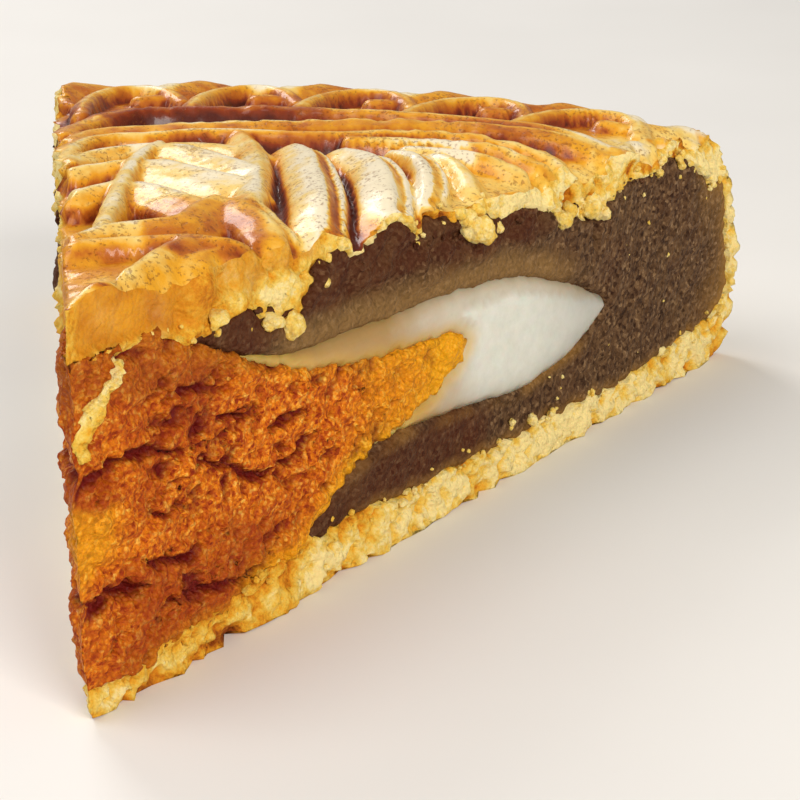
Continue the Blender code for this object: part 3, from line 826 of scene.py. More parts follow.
def filling(name, outline, cut, material, shade):
    """A filling as one closed mesh: a finished cut face on each side, joined through the slice."""
    loops = {side: outline(side) for side in (LEFT, RIGHT)}
    count = len(loops[LEFT])
    on_axis = loops[LEFT][:, 0] < AT_AXIS
    build = Build()
    rims = {}
    for side in (LEFT, RIGHT):
        flat, triangles = fill(loops[side], CUT_STEP[name], 5 + side)
        edge = np.concatenate([np.zeros(count), loop_distance(flat[count:], loops[side])])
        depth = cut(flat, side, edge)
        numbers = build.add(place(flat, depth, side), shade(flat, side, edge, depth))
        if side == RIGHT:
            numbers[:count][on_axis] = rims[LEFT][on_axis]
        rims[side] = numbers[:count]
        build.add_faces(numbers[triangles if side == LEFT else triangles[:, ::-1]])
    rows = [rims[LEFT]]
    for ring in behind_cuts(loops[LEFT], loops[RIGHT]):
        rows.append(build.add(ring))
        rows[-1][on_axis] = rims[LEFT][on_axis]
    build.join([*rows, rims[RIGHT]], closed=True)
    return build.finish(name, [material])


def between_rows(inner, outer):
    """Triangles between two rows of points that may have different counts."""
    faces = []
    i = 0
    j = 0
    while i < len(inner) - 1 or j < len(outer) - 1:
        outer_next = j < len(outer) - 1 and (
            i == len(inner) - 1 or (j + 1) * (len(inner) - 1) <= (i + 1) * (len(outer) - 1))
        if outer_next:
            faces.append((inner[i], outer[j + 1], outer[j]))
            j += 1
        else:
            faces.append((inner[i], inner[i + 1], outer[j]))
            i += 1
    return faces


def browning_and_painted_light(height, steep, hollow, line, reached, turn, p):
    """How dark the glaze looks, baked colour with painted shade and highlights: 0 cream, 0.35 golden,
    0.55 orange brown, 1 dark red.
    """
    u = reached * np.sin(turn)
    v = reached * np.cos(turn)
    from_cut = reached * np.sin(SLICE_TURN - turn)
    lobes = window(u, 7, 16.6, 1) * window(v, 27, 53, 1.5)
    blades = window(u, 18.8, 37, 1) * window(v, 20, 50, 2)
    # The deep gaps between the blades, where painted shade goes
    gap_shade = window(u, 17.6, 33, 1) * window(v, 20, 47, 3) * ease((-1.9 - height) / 0.5)
    slopes = 0
    for points, _, _ in BLADES:
        distance, share = signed_distance(u, v, smooth_path(points, PATH_STEP))
        slopes = np.maximum(slopes, window(-distance, 0.55, 1.25, 0.25) * ease(share / 0.15))
    raised = ease((height + 1.7) / 0.7)
    crest = ease((height + 0.85) / 0.4)
    # The feet of steep walls, where painted shade goes
    foot = ease((-1.5 - height) / 0.6) * rise(steep, 1.1, 1.1)
    level = 1 - ease((steep - 0.55 - 0.55 * blades) / 0.6)
    ring = window(reached, 74, 99, 4)
    collar = window(reached, 51, 74, 2) * (1 - lobes) * (1 - blades)
    tone = 0.37 + 0.08 * rough(p, 9, 71) + 0.08 * rough(p, 2.2, 73)
    # The foot and gap terms are painted shade: darker at the feet of steep walls and in the deep gaps
    # between the blades.
    tone += 0.1 * rise(steep, 0.7, 1.2) + 0.26 * foot + 0.45 * gap_shade + 0.22 * slopes
    # In hollows partly glaze pooled and baked darker, partly painted shade; where the relief bulges,
    # painted highlight.
    tone += ((0.5 + 0.5 * collar) * np.clip(hollow - 0.04, 0, 0.45)
             - 0.3 * np.clip(-hollow - 0.04, 0, 0.3))
    # Painted highlight along the ridge crests, strongest in the collar, the ring and the line above the
    # leaf.
    crest_highlight_above_leaf = window(u, 13, 27, 2) * window(v, 55, 62, 1)
    tone -= (0.1 + 0.14 * collar + 0.12 * ring + 0.2 * crest_highlight_above_leaf) * line
    # Painted shade in the ring's hollows.
    tone += 0.12 * ring * np.clip(hollow, 0, 0.5)
    # Painted highlight: flat crests, leaf lobes and blade faces paler where they catch the light.
    tone -= (0.1 * crest + (0.17 * lobes + 0.26 * blades * (1 - slopes)) * raised) * level
    tone += 0.17 * collar + 0.12 * ring
    tone += 0.22 * window(u, 7, 15.5, 1) * window(v, 14, 28, 2)
    tone -= 0.07 * window(u, 0, 6, 1) * window(v, 18, 50, 2)
    # Painted highlight: a pale patch at the outer end of each arch's loop, beside its bead.
    past = (np.degrees(turn) - FIRST_ARCH) % ARCH_PITCH
    loops = window(reached - lean(np.degrees(turn)), 87.6, 90.4, 0.8) * window(past, 3.6, 5.8, 1)
    tone -= 0.34 * loops * rise(from_cut, 3, 5)
    # The dark red band along the foot of the ring's inner wall: partly its baked colour, partly painted
    # shade.
    tone += 0.3 * window(reached, 65, 71.6, 0.8) * rise(from_cut, 24, 8) * rise(u, 2, 3)
    tone -= 0.36 * ease(1 - from_cut / 12) * window(reached, 42, 96, 6)
    tone += (0.3 * window(u, 0.8, 5, 0.5) * bell(v, 3.6, 0.5)
             + 0.4 * np.exp(-((u - 8.6) ** 2 + ((v - 12.4) / 0.8) ** 2)))
    tone -= 0.16 * rise(reached, 101, 8)
    return tone + 0.85 * window(u, 35, 43, 3) * window(v, 28, 43, 3) * (0.22 - tone)


def crumb_tone(p, side):
    """How golden the crumb is: 0 pale cream, 1 golden brown."""
    r, z = p.T
    tone = 0.2 + 0.22 * rough(p, 4, 75 + side) + 0.12 * rough(p, 1.2, 77)
    tone -= 0.16 * window(r, 40, 88, 8) * fall(z, 6, 3)
    tone += 0.14 * ease(1.6 - r / 30) * ease(z / 8 - 2)
    spots = 0.6 * ease((rough(p, 2.4, 79) - 0.45) / 0.25)
    tone += spots * window(r, 72, 94, 3) * rise(z, 23, 2)
    baked = 0.2 * (1 - ease(z / 1.4)) + 0.3 * fall(r, 6, 26)
    tone += baked * fall(z, 6, 3)
    tone -= 0.14 * window(r, 56, 110, 8) * rise(z, 8, 8)
    tone -= 0.3 * ease(1.3 - r / 5) * ease(2.2 - z / 2)
    return tone


def moulded_outside():
    """The pastry's skin, row by row from the tip of the top over the rim and back under the base.

    Gives the rows of point numbers, the base's first point, each point's (r, z), the points, how dark
    the glaze looks with its painted shade and highlights, and how bare each one is.
    """
    ridges = all_ridges()
    section = outer_section()
    slope = np.gradient(section, axis=0)
    slope /= np.linalg.norm(slope, axis=1)[:, None]
    along = lengths_along(section)
    base_from = np.argmax(section[:, 1] <= AT_AXIS)
    turns = [[HALF_TURN]]
    for (r, _), way in zip(section[1:], along[1:]):
        step = TOP_STEP if way < SHOULDER + 12 else WALL_STEP if way < along[base_from] else BASE_STEP
        turns.append(np.linspace(0, SLICE_TURN, max(1, round(r * SLICE_TURN / step)) + 1))
    counts = [len(t) for t in turns]
    ends = np.cumsum(counts)
    rows = [np.arange(end - count, end) for end, count in zip(ends, counts)]
    turn = np.concatenate(turns)
    reached = np.repeat(along, counts)
    r, z = np.repeat(section, counts, axis=0).T
    run = np.repeat(slope, counts, axis=0)
    u = reached * np.sin(turn)
    v = reached * np.cos(turn)
    on_top = 1 - ease((reached - SHOULDER - 1) / 6)
    top = on_top > 0

    def around(step):
        """The relief a step to each side of every point of the top."""
        return [relief(u[top] + du, v[top] + dv, ridges)
                for du, dv in ((step, 0), (-step, 0), (0, step), (0, -step))]

    carved, steep, hollow, line = np.zeros((4, len(turn)))
    right, left, outer, inner = around(SLOPE_STEP)
    carved[top] = (right + left + outer + inner) / 4
    steep[top] = np.hypot(right - left, outer - inner) / (2 * SLOPE_STEP)
    hollow[top] = sum(around(HOLLOW_STEP)) / 4 - carved[top]
    line[top] = crest_lines(u[top], v[top], ridges)
    from_right = reached * np.sin(SLICE_TURN - turn)
    at_tip = ease(1 - reached / 5)
    carved = carved * (1 - at_tip) - 1.2 * at_tip
    dragged = ease(1 - from_right / 10) * window(reached, 46, 92, 5)
    carved = carved * (1 - 0.45 * dragged) - 0.45 * dragged
    depth = carved - PRESSED * bell(from_right, 0, 4) * rise(reached, 18, 10)
    depth = depth * on_top + rim_notches(reached, turn)

    bearing = turn - HALF_TURN
    p = np.stack([r * np.sin(bearing), r * np.cos(bearing), z], axis=1)
    skin = (0.05 * rough(p, 2.6, 81) + 0.03 * noise(p, 0.8, 83)) * (reached < along[base_from])
    skin *= 1 + 2.2 * rise(steep, 0.8, 1.5) + 3 * window(reached, 62, 71, 2)
    wall = (1 - on_top) * (reached < along[base_from] - 1)
    scuffed = ease((0.6 * rough(p, 4.5, 97) + 0.5 - from_right / 5.5) / 0.5)
    scuffed *= window(reached, 56, 98, 4)
    depth = depth + skin + wall * (0.16 * rough(p, 6, 85) - 0.1)
    depth = depth + scuffed * (0.4 * crumbs(p[:, :2], 1.9, 98) + 0.3 * rough(p, 1.2, 99) - 0.3)
    r = r - run[:, 1] * depth
    z = np.maximum(z + run[:, 0] * depth, 0)
    under = reached > along[base_from] + 1
    z = z + under * 0.25 * np.clip(rough(p, 5, 87), 0, 1)

    xy = np.stack([r * np.sin(bearing), r * np.cos(bearing)], axis=1)
    section = np.stack([r, z], axis=1)
    for side in (LEFT, RIGHT):
        give = np.clip(1 - r * np.sin(HALF_TURN - side * bearing) / EDGE_STRIP, 0, 1) * (r > 0)
        inwards = np.array([-side * math.cos(HALF_TURN), math.sin(HALF_TURN)])
        xy += (pastry_cut(section, side) * give)[:, None] * inwards
        broken = give**2 * np.clip(0.5 + 0.9 * rough(section, 2.6, 91 + side), 0, 1.6)
        broken *= window(reached, 8, 92, 4) * (1 - 0.7 * window(reached, 30, 62, 3))
        z = z - BROKEN[side] * broken
    section[:, 1] = z
    points = np.stack([xy[:, 0], xy[:, 1] - CAKE_RADIUS / 2, z], axis=1)
    # The glaze's baked colour with painted shade and highlights, less of both where the crust is
    # dragged.
    browned_with_painted_light = browning_and_painted_light(carved, steep * (1 - 0.6 * dragged), hollow * (1 - dragged),
                       line * (1 - dragged), reached, turn, p)
    bare = scuffed * (0.75 + 0.5 * rough(p, 1.6, 96))
    return rows, rows[base_from][0], section, points, browned_with_painted_light, bare


def pastry(glaze, crumb, baked_base):
    """The pastry as one closed mesh: its skin, two crumbly cut faces and the fillings' hollow."""
    rows, base_from, section, outside, browned_with_painted_light, bare = moulded_outside()
    build = Build()
    foot = len(outside)
    build.add(np.vstack([outside, [[0, -CAKE_RADIUS / 2, FOOT]]]),
              {"browning_and_painted_light": [*browned_with_painted_light, 0.5], "golden": 0, "bare": [*bare, 0], "dragged": 0})
    skin = [face for one, two in zip(rows[:-1], rows[1:]) for face in between_rows(one, two)]
    skin += [(one, two, foot) for one, two in zip(rows[-1][:-1], rows[-1][1:])]
    build.add_faces(skin, np.where(np.min(skin, axis=1) >= base_from, 2, 0))

    linings = {}
    for side in (LEFT, RIGHT):
        shell = np.array([row[0] if side == LEFT else row[-1] for row in rows] + [foot])
        own = len(shell)
        inside = pastry_inside(side)
        inside[0, 0] = inside[-1, 0] = 0
        lower = [[0, z] for z in np.linspace(FOOT, inside[-1, 1], 9)[1:-1]]
        upper = [[0, z] for z in np.linspace(inside[0, 1], section[0, 1], 17)[1:-1]]
        loop = np.vstack([section[shell[:-1]], [[0, FOOT]], lower, inside[::-1], upper])
        flat, triangles = fill(loop, CUT_STEP["pastry"], 15 + side)
        depth = pastry_cut(flat, side)
        smear = smeared(flat)
        knob = knobs(flat, side)
        # Painted shade: the crumb darker golden where the cut face lies deep in its crevices, paler on
        # the lumps that stand out.
        golden = crumb_tone(flat, side) + 0.7 * np.clip(depth - 0.4, -0.25, 0.7) * (1 - smear)
        golden += (0.14 + 0.14 * (flat[:, 0] < 34)) * ease(1 - loop_distance(flat, inside) / 1.5)
        golden += 0.25 * knob
        drag = 0.9 * smear * (1 - 0.75 * np.clip(knob, 0, 1))
        drag *= 0.2 + 0.8 * ease(flat[:, 0] / 1.4 - 0.4)
        build.values["golden"][0][shell] = golden[:own]
        build.values["dragged"][0][shell] = drag[:own]
        new = build.add(place(flat, depth, side)[own:], {"golden": golden[own:], "dragged": drag[own:]})
        numbers = np.concatenate([shell, new])
        axis = own + np.flatnonzero(flat[own:, 0] < AT_AXIS)
        if side == LEFT:
            shared = numbers[axis]
        numbers[axis] = shared
        first = own + len(lower)
        linings[side] = (numbers[first:first + len(inside)][::-1], inside)
        build.add_faces(numbers[triangles], 1)

    rows = [linings[LEFT][0]]
    for ring in behind_cuts(linings[LEFT][1], linings[RIGHT][1]):
        numbers = build.add(ring)
        numbers[[0, -1]] = linings[LEFT][0][[0, -1]]
        rows.append(numbers)
    build.join([*rows, linings[RIGHT][0]], closed=False, index=1)
    return build.finish("pastry_shell", [glaze, crumb, baked_base])


# Lumps of crust caught on the right cut face: radius, height and size
LUMPS = [(50, 26.2, 1.5), (51.8, 25.3, 1.1), (49, 27.3, 0.9), (64.4, 23.4, 1.1), (66, 23.9, 0.8),
         (69.4, 23.6, 1.3), (71.8, 22.2, 0.9), (22.6, 25.6, 1.2), (25.2, 24.6, 1), (16.2, 27.6, 1),
         (28.8, 27.2, 0.8), (5.6, 27.2, 0.5), (60.5, 4.9, 0.6), (63.8, 4.4, 0.5), (57.2, 5.6, 0.4)]

# A torn flake beside the tip, from its top down: radius, height, half its width, how far it stands out
FLAKE = [(5.4, 27.8, 0.2, 0.3), (4.9, 27, 0.6, 0.6), (4, 26.3, 1.3, 0.7), (3, 25.5, 2, 0.6),
         (2.1, 24.6, 1.7, 0.5), (1.6, 23.6, 1.3, 0.4), (1.3, 22.4, 1, 0.35), (1.2, 21, 0.6, 0.3)]


def flake_points():
    """Rings round the torn flake, which is thin, ragged and stuck on by its middle."""
    along = np.linspace(0, 1, 60)
    r, z, wide, out = points_at(along, np.linspace(0, 1, len(FLAKE)), np.array(FLAKE)).T
    turn = np.linspace(0, 2 * math.pi, 32, endpoint=False)
    across = np.cos(turn)[None] * wide[:, None]
    level = np.stack([np.broadcast_to(turn, across.shape), 9 * along[:, None] + 0 * across], axis=-1)
    across = across * (1 + 0.35 * rough(level, 0.9, 105)) + 0.25 * rough(level * [0, 1], 1.2, 106)
    lift = (0.25 + 0.75 * np.maximum(np.sin(turn), -0.4)[None]) * out[:, None]
    lift = (lift * (1 + 0.3 * rough(level, 0.8, 107))).ravel()
    flat = np.stack([(r[:, None] + across).ravel(), (z[:, None] + 0.3 * across).ravel()], axis=1)
    return place(flat, yolk_cut(flat, RIGHT, FAR) + 0.1 - lift, RIGHT).reshape(len(along), len(turn), 3)


def scattered(name, spots, material, chance, key, least, flake=None):
    """Rough lumps in one mesh, each at a side, radius, height and size, and each with its own shade."""
    unit = bmesh.new()
    bmesh.ops.create_icosphere(unit, subdivisions=3, radius=1)
    ball = np.array([v.co[:] for v in unit.verts])
    triangles = np.array([[v.index for v in face.verts] for face in unit.faces])
    unit.free()
    build = Build()
    for k, (side, r, z, size) in enumerate(spots):
        shape = ball * (1 + 0.4 * rough(ball + 7 * k, 0.9, 101))[:, None] * chance.uniform(0.7, 1.1, 3)
        middle = place(np.array([[r, z]]), np.array([0.35 - 0.35 * size]), side)
        shade = least + 0.2 * chance.random() + 0.25 * (r < 34 and z < 12)
        build.add_faces(build.add(middle + size * shape, {key: shade})[triangles])
    if flake is not None:
        points = flake.reshape(-1, 3)
        shade = np.repeat(np.linspace(0, 0.4, len(flake)), flake.shape[1])
        shade += 0.22 * rough(points[:, ::2], 1.4, 103)
        rings = build.add(points, {key: shade}).reshape(flake.shape[:2])
        for one, two in zip(rings[:-1], rings[1:]):
            build.add_faces(np.stack([one, np.roll(one, -1), np.roll(two, -1), two], axis=1))
        build.add_faces([rings[0][::-1], rings[-1]])
    return build.finish(name, [material], mend=False)


def crust_crumbs(material):
    """Lumps and crumbs of crust that cling to the cut faces, and the torn flake."""
    chance = np.random.default_rng(8)
    spots = [(RIGHT, r, z, size) for r, z, size in LUMPS]
    for side in (LEFT, RIGHT):
        edge = pastry_inside(side)
        for k in chance.integers(30, len(edge) - 30, 130):
            r, z = edge[k] + chance.normal(0, 0.7, 2)
            spots.append((side, r, z, 0.18 + 0.5 * chance.random() ** 3))
        for _ in range(24):
            r = chance.uniform(54, 92)
            z = chance.uniform(5, 24)
            spots.append((side, r, z, 0.12 + 0.2 * chance.random() ** 3))
    return scattered("crumbs", spots, material, chance, "golden", 0.05, flake_points())


def paste_crumbs(material):
    """Dark crumbs of paste dragged on to the crust above it."""
    chance = np.random.default_rng(18)
    spots = []
    for side in (LEFT, RIGHT):
        edge = pastry_inside(side)
        edge = edge[(edge[:, 1] > 21) & (edge[:, 0] > 20) & (edge[:, 0] < 80)]
        for k in chance.integers(0, len(edge), 60):
            r, z = edge[k] + chance.normal(0, 0.4, 2) + np.array([0, 0.1])
            size = 0.15 + 0.4 * chance.random() ** 2
            spots.append((side, r, min(z, float(top_edge(side, np.array([r]))[0]) - 1.5 - size), size))
    return scattered("paste_crumbs", spots, material, chance, "reddish", 0.75)


# ---------------------------------------------------------------- materials
# Ramps are pairs of a position and a linear colour.

GLAZE = [(0, (0.88, 0.77, 0.54)), (0.16, (0.86, 0.6, 0.16)), (0.34, (0.78, 0.36, 0.016)),
         (0.55, (0.5, 0.14, 0.008)), (0.75, (0.25, 0.035, 0.004)), (1, (0.09, 0.01, 0.002))]
CRUMB = [(0, (0.94, 0.75, 0.32)), (0.16, (0.88, 0.62, 0.15)), (0.32, (0.84, 0.52, 0.075)),
         (0.5, (0.8, 0.4, 0.03)), (0.72, (0.64, 0.22, 0.01)), (1, (0.28, 0.06, 0.006))]
SMEARED_CRUST = [(0.35, (0.48, 0.135, 0.003)), (0.62, (0.68, 0.27, 0.012))]
UNDERSIDE = [(0.3, (0.62, 0.33, 0.09)), (0.5, (0.5, 0.2, 0.035)), (0.72, (0.25, 0.07, 0.012))]
PASTE = [(0.3, (0.03, 0.012, 0.005)), (0.45, (0.085, 0.041, 0.018)), (0.6, (0.14, 0.073, 0.032)),
         (0.76, (0.3, 0.18, 0.085))]
RICE = [(0.3, (0.64, 0.635, 0.55)), (0.7, (0.74, 0.735, 0.65))]
YOLK = [(0.34, (0.27, 0.024, 0.002)), (0.45, (0.62, 0.13, 0.003)), (0.56, (0.82, 0.24, 0.006)),
        (0.7, (0.97, 0.52, 0.08))]
FLOOR = [(0.3, (0.8, 0.79, 0.77)), (0.7, (0.84, 0.83, 0.81))]
SPECK = (0.25, 0.06, 0.008)
BETWEEN_GRAINS = (0.34, 0.035, 0.002)
# Painted shade in the yolk's cracks and pits
CREVICE_SHADE = (0.14, 0.006, 0.003)


class Surface:
    """One material and its shader nodes. Sizes and depths are in millimetres."""

    def __init__(self, name):
        self.material = bpy.data.materials.new(name)
        self.material.use_nodes = True
        self.tree = self.material.node_tree

    def feed(self, socket, value):
        """Links a socket to a node's output, or sets its value."""
        if isinstance(value, bpy.types.NodeSocket):
            self.tree.links.new(value, socket)
        elif isinstance(value, tuple):
            socket.default_value = (*value, 1)
        else:
            socket.default_value = value

    def add(self, kind, inputs, **settings):
        """A shader node with its inputs given by name or number."""
        node = self.tree.nodes.new(kind)
        for key, value in settings.items():
            setattr(node, key, value)
        for key, value in inputs.items():
            self.feed(node.inputs[key], value)
        return node

    def ramp(self, value, stops):
        node = self.add("ShaderNodeValToRGB", {0: value})
        elements = node.color_ramp.elements
        while len(elements) < len(stops):
            elements.new(0.5)
        for element, (position, colour) in zip(elements, stops):
            element.position = position
            element.color = (*colour, 1)
        return node.outputs["Color"]

    def mix(self, factor, a, b):
        """The colour a, or b where the factor is 1."""
        return self.add("ShaderNodeMix", {"Factor": factor, 6: a, 7: b}, data_type="RGBA").outputs[2]

    def blend(self, a, b, share):
        """The value a, or b where the share is 1."""
        return self.add("ShaderNodeMix", {0: share, 2: a, 3: b}).outputs[0]

    def sum(self, a, b):
        return self.add("ShaderNodeMath", {0: a, 1: b}, operation="ADD").outputs[0]

    def spread(self, value, low, high, to_low=0.0, to_high=1.0):
        """A value stretched from one range to another."""
        return self.add("ShaderNodeMapRange", {"Value": value, "From Min": low, "From Max": high,
                                               "To Min": to_low, "To Max": to_high}).outputs["Result"]

    def texture(self, kind, size, inputs):
        where = self.add("ShaderNodeTexCoord", {}).outputs["Object"]
        return self.add(kind, {"Vector": where, "Scale": 1 / (size * MM), **inputs}).outputs

    def grainy(self, size, detail=4.0, roughness=0.55):
        """Noise with features about this far across."""
        return self.texture("ShaderNodeTexNoise", size,
                            {"Detail": detail, "Roughness": roughness})["Fac"]

    def varied(self, low, high, *noise):
        """Noise that goes from the low value to the high one."""
        return self.spread(self.grainy(*noise), 0.3, 0.7, low, high)

    def cells(self, size):
        """The distance from the middle of each grain."""
        return self.texture("ShaderNodeTexVoronoi", size, {})["Distance"]

    def specks(self, size):
        """A random number for each grain."""
        return self.texture("ShaderNodeTexVoronoi", size, {})["Color"]

    def attribute(self, name):
        return self.add("ShaderNodeAttribute", {}, attribute_name=name).outputs["Fac"]

    def tint(self, name, colour, share, towards):
        """The colour, drawn a share of the way towards another where an attribute says so."""
        return self.mix(self.attribute(name), colour, self.mix(share, colour, towards))

    def bump(self, *heights):
        """Bumps on bumps: pairs of a height from 0 to 1 and its depth."""
        inputs = {}
        for height, depth in heights:
            inputs = {"Height": height, "Distance": depth * MM, "Strength": 1.0, **inputs}
            inputs = {"Normal": self.add("ShaderNodeBump", inputs).outputs["Normal"]}
        return inputs["Normal"]

    def finish(self, colour, inputs):
        for key, value in {"Base Color": colour, **inputs}.items():
            self.feed(self.tree.nodes["Principled BSDF"].inputs[key], value)
        return self.material


def glaze_material():
    """Egg-glazed crust: cream to dark red by how it baked, with painted shade and highlights, finely
    speckled and glossy.
    """
    s = Surface("glazed_pastry")
    colour = s.ramp(s.sum(s.attribute("browning_and_painted_light"), s.varied(-0.08, 0.08, 1.6)), GLAZE)
    specks = s.spread(s.blend(s.grainy(0.36, 2), s.grainy(5, 2), 0.3), 0.56, 0.63)
    colour = s.mix(s.spread(specks, 0, 1, 0, 0.5), colour, SPECK)
    bare = s.spread(s.attribute("bare"), 0.3, 0.6)
    colour = s.mix(bare, colour, s.ramp(s.grainy(1.5, 5), CRUMB))
    normal = s.bump((s.grainy(2.2), 0.14), (s.grainy(0.6, 4, 0.65), 0.1), (specks, -0.06))
    return s.finish(colour, {"Roughness": s.varied(0.38, 0.6, 0.9, 5), "Normal": normal,
                             "Specular IOR Level": 0.16, "Coat Weight": 0.42, "Coat Roughness": 0.17})


def crumb_material():
    """The inside of the pastry where it is cut or broken: pale, dry and crumbly."""
    s = Surface("pastry_crumb")
    dragged = s.attribute("dragged")
    # The golden attribute on the cut faces holds painted shade in the crumb's crevices as well as its
    # colour.
    colour = s.ramp(s.sum(s.attribute("golden"), s.varied(-0.24, 0.24, 0.7, 5, 0.7)), CRUMB)
    colour = s.mix(dragged, colour, s.ramp(s.grainy(3, 3), SMEARED_CRUST))
    roughness = s.blend(s.varied(0.6, 0.85, 0.8), 0.42, dragged)
    normal = s.bump((s.blend(s.grainy(0.9, 5, 0.7), 0.5, dragged), 0.36), (s.cells(0.4), -0.12))
    return s.finish(colour, {"Roughness": roughness, "Normal": normal, "Specular IOR Level": 0.12,
                             "Subsurface Weight": 0.06, "Subsurface Scale": 0.001})


def base_material():
    """The baked underside, dry and mottled."""
    s = Surface("baked_base")
    return s.finish(s.ramp(s.grainy(7, 6), UNDERSIDE),
                    {"Roughness": s.varied(0.5, 0.75, 1.5), "Normal": s.bump((s.grainy(1.4, 5), 0.25))})


def paste_material():
    """Bean paste: dark, close-grained, slightly moist, reddish under the crust and amber at the rim."""
    s = Surface("bean_paste")
    fine = s.blend(s.grainy(0.6, 3, 0.65), s.specks(0.36), 0.4)
    colour = s.ramp(fine, PASTE)
    colour = s.tint("reddish", colour, 0.65, (0.075, 0.014, 0.004))
    colour = s.tint("olive", colour, 0.75, (0.29, 0.16, 0.05))
    colour = s.tint("amber", colour, 0.8, (0.38, 0.19, 0.04))
    normal = s.bump((s.grainy(1.4, 3, 0.6), 0.18), (s.cells(0.42), -0.2))
    return s.finish(colour, {"Roughness": s.spread(fine, 0.3, 0.7, 0.75, 0.5), "Normal": normal,
                             "Specular IOR Level": 0.1})


def rice_material():
    """Soft rice dough: translucent white, with a thin beige part over the yolk, and painted shade
    making it greyer towards its outer end and lower edge.
    """
    s = Surface("rice_dough")
    colour = s.ramp(s.grainy(1.5, 6, 0.7), RICE)
    # Painted shade, greyer towards the outer end and the lower edge.
    colour = s.mix(s.attribute("grey"), colour, (0.32, 0.31, 0.27))
    colour = s.mix(s.attribute("thin"), colour, (0.4, 0.24, 0.08))
    colour = s.mix(s.attribute("stained"), colour, (0.66, 0.4, 0.06))
    return s.finish(colour, {"Roughness": s.varied(0.32, 0.5, 1.6),
                             "Normal": s.bump((s.grainy(0.8, 4), 0.05)),
                             "Subsurface Weight": 0.4, "Subsurface Scale": 0.003})


def yolk_material():
    """Salted egg yolk: deep orange and oily, with painted shade dark red in its cracks, and yellow
    towards its outer end.
    """
    s = Surface("salted_yolk")
    fine = s.blend(s.grainy(0.75, 4, 0.7), s.specks(0.34), 0.28)
    colour = s.ramp(fine, YOLK)
    colour = s.mix(s.spread(s.cells(0.4), 0.45, 0.65, 0, 0.45), colour, BETWEEN_GRAINS)
    colour = s.tint("brown", colour, 0.7, (0.3, 0.035, 0.002))
    colour = s.tint("yellow", colour, 0.65, (0.9, 0.47, 0.006))
    colour = s.tint("veiled", colour, 0.5, (0.3, 0.07, 0.006))
    # Painted shade: dark red in the deep pits and cracks.
    colour = s.mix(s.attribute("deep"), colour, CREVICE_SHADE)
    normal = s.bump((s.grainy(1.5, 3, 0.6), 0.2), (s.cells(0.8), -0.1), (s.cells(0.4), -0.22))
    return s.finish(colour, {"Roughness": s.spread(fine, 0.3, 0.7, 0.7, 0.42), "Normal": normal,
                             "Specular IOR Level": 0.15, "Subsurface Weight": 0.08,
                             "Subsurface Scale": 0.001})


# ---------------------------------------------------------------- shades on the cut faces

def paste_shade(p, side, edge, depth):
    r, z = wander(p, 4, 1.2, 63).T
    below_crust = window(z, 24.5, 34, 2) * window(r, 14, 60, 5)
    low_left = window(r, 24, 50, 8) * window(z, 0, 9, 1.5)
    over_rice = window(r, -9, 62, 8) * ease(1 - loop_distance(p, core(side)) / 4)
    over_rice = over_rice * ease(z / 3 - 5)
    at_rim = ease((r - 91 + 0.25 * np.abs(z - 11)) / 8) * (0.45 + 0.55 * ease(1 - edge / 2.5))
    low_edge = 0.7 * ease(1 - edge / 1.8) * ease(5 - 0.5 * z) * window(r, 36, 110, 6)
    return {"reddish": np.clip(below_crust + 0.8 * low_left + 0.2 * rough(p, 5, 64), 0, 1),
            "olive": np.clip(1.1 * over_rice * rise(r, 20, 8) + 0.1 * rough(p, 3, 65), 0, 0.85),
            "amber": np.maximum(at_rim, low_edge)}


def rice_shade(p, side, edge, depth):
    r, z = wander(p, 6, 1.5, 67).T
    over_yolk = 1 - ease((r - 37 + 0.5 * (z - 20)) / 9)
    skin = 0.3 * ease(1 - edge / 1.3) + 0.34 * folded(p, edge)
    touching = loop_distance(p, yolk_face(side))
    # Painted shade: the rice greyer towards its outer end and along its lower edge.
    grey = 0.5 * rise(p[:, 0], 57, 15)
    grey = grey + 0.4 * ease(1 - edge / 3) * ease(5 - 0.3 * p[:, 1])
    return {"thin": np.clip(over_yolk + skin, 0, 1), "stained": 0.6 * ease(1 - touching / 1.6),
            "grey": np.clip(grey, 0, 0.6) * (touching > 0.8)}


def yolk_shade(p, side, edge, depth):
    veil_r, veil_z = wander(p, 2.5, 0.5, 71).T
    r, z = wander(wander(p, 7, 3, 69), 2.2, 0.9, 70).T
    outwards = rise(r, 30, 16)
    front = window(r, -9, 1.5, 5) * window(z, 12, 17, 3)
    front = front + 0.5 * window(r, 8, 34, 6) * (1 - ease(edge / 1.8))
    brown = 0.12 * window(r, 4, 22, 10) + 0.36 * window(z, 19, 40, 5) * window(r, -9, 16, 10)
    brown += 0.6 * window(z, -9, 8, 3) * window(r, 4, 24, 6) + 0.4 * rough(p, 5, 66)
    brown += 0.6 * window(edge, -1, 3.5, 2.5) * window(r, 7, 22, 4) * (p[:, 1] < 14)
    brown += 0.8 * window(p[:, 0], -9, 2.5, 3) * window(p[:, 1], 17.4, 19, 0.9)
    border = window(r, 24, 40, 6) * (1 - ease(edge / 3)) * fall(z, 11, 4)
    brown -= 0.8 * border
    # Painted shade: dark red where the cut face lies deep, in pits and cracks.
    deep = np.clip(np.maximum((depth - 0.25) / 0.5, 1.7 * crack_depth(p, side)), 0, 1)
    return {"yellow": np.clip(0.9 * outwards + 0.6 * front + 0.6 * border, 0, 0.9),
            "brown": np.clip(brown - outwards - 0.5 * front, 0, 0.9), "deep": deep,
            "veiled": ease((veil_z - 23.6 + 0.12 * veil_r) / 2.4) * window(veil_r, -9, 20, 4)}


# ---------------------------------------------------------------- the scene

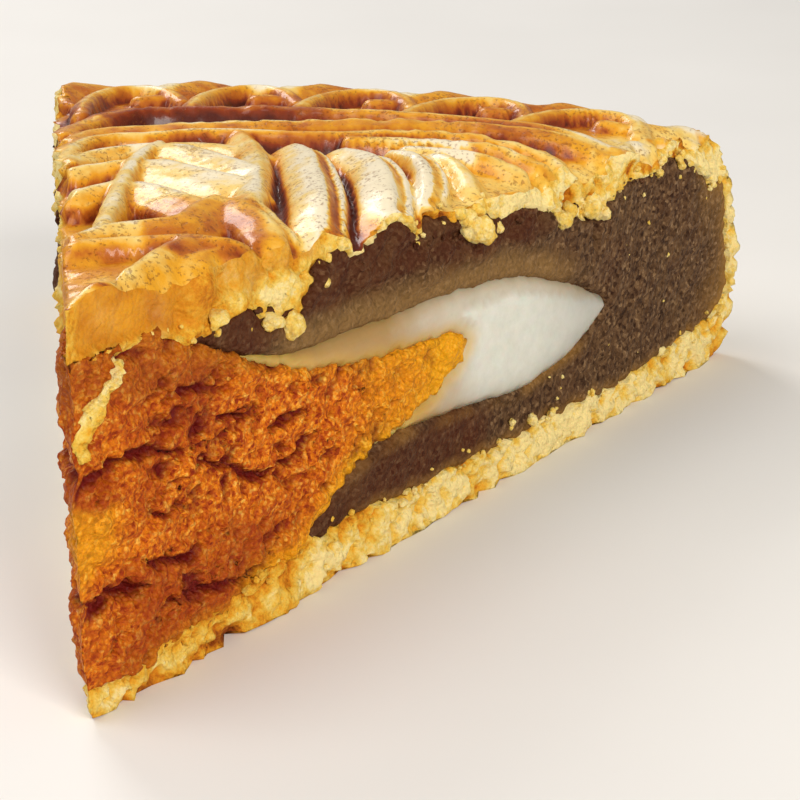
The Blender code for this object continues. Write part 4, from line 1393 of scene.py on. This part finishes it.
def stand(name, data, at, towards):
    """A lamp or a camera that stands at one point and faces another."""
    piece = linked(name, data)
    piece.location = at
    piece.rotation_euler = (Vector(towards) - Vector(at)).to_track_quat("-Z", "Y").to_euler()
    return piece


def studio():
    """A pale floor, soft light from behind, from above and in front, and the camera."""
    mesh = bpy.data.meshes.new("floor")
    mesh.from_pydata([(-3, -3, 0), (3, -3, 0), (3, 3, 0), (-3, 3, 0)], [], [(0, 1, 2, 3)])
    s = Surface("floor")
    mesh.materials.append(s.finish(s.ramp(s.grainy(60, 2), FLOOR), {"Roughness": 0.7}))
    linked("floor", mesh)

    for name, (at, towards, size, power, colour) in LAMPS.items():
        lamp = bpy.data.lights.new(name, "AREA")
        lamp.size = size
        lamp.energy = power
        lamp.color = colour
        stand(name, lamp, at, towards)
    world = bpy.data.worlds.new("studio")
    world.use_nodes = True
    for key, value in ALL_ROUND.items():
        world.node_tree.nodes["Background"].inputs[key].default_value = value

    lens = bpy.data.cameras.new("view")
    lens.lens = VIEW_LENS
    lens.clip_start = 0.01
    bpy.context.scene.world = world
    bpy.context.scene.camera = stand("view", lens, VIEW_FROM, VIEW_AT)
    bpy.context.scene.view_settings.view_transform = "Standard"


def dress(piece, node):
    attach(piece, "root")
    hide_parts(node)


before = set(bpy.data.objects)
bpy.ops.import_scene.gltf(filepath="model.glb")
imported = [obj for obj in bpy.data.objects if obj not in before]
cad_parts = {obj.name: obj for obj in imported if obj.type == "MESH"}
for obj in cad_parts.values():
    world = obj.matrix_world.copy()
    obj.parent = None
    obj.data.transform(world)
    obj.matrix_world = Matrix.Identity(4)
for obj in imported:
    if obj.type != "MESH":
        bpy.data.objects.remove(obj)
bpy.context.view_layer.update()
crumb = crumb_material()
bean = paste_material()
dress(pastry(glaze_material(), crumb, base_material()), "pastry")
dress(filling("paste", paste_outline, paste_cut, bean, paste_shade), "bean_paste")
dress(filling("rice", rice_outline, rice_cut, rice_material(), rice_shade), "mochi_layer")
dress(filling("yolk", yolk_outline, yolk_cut, yolk_material(), yolk_shade), "egg_yolk")
for loose, slot in ((crust_crumbs(crumb), "pastry"), (paste_crumbs(bean), "bean_paste")):
    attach(loose, "root")
studio()
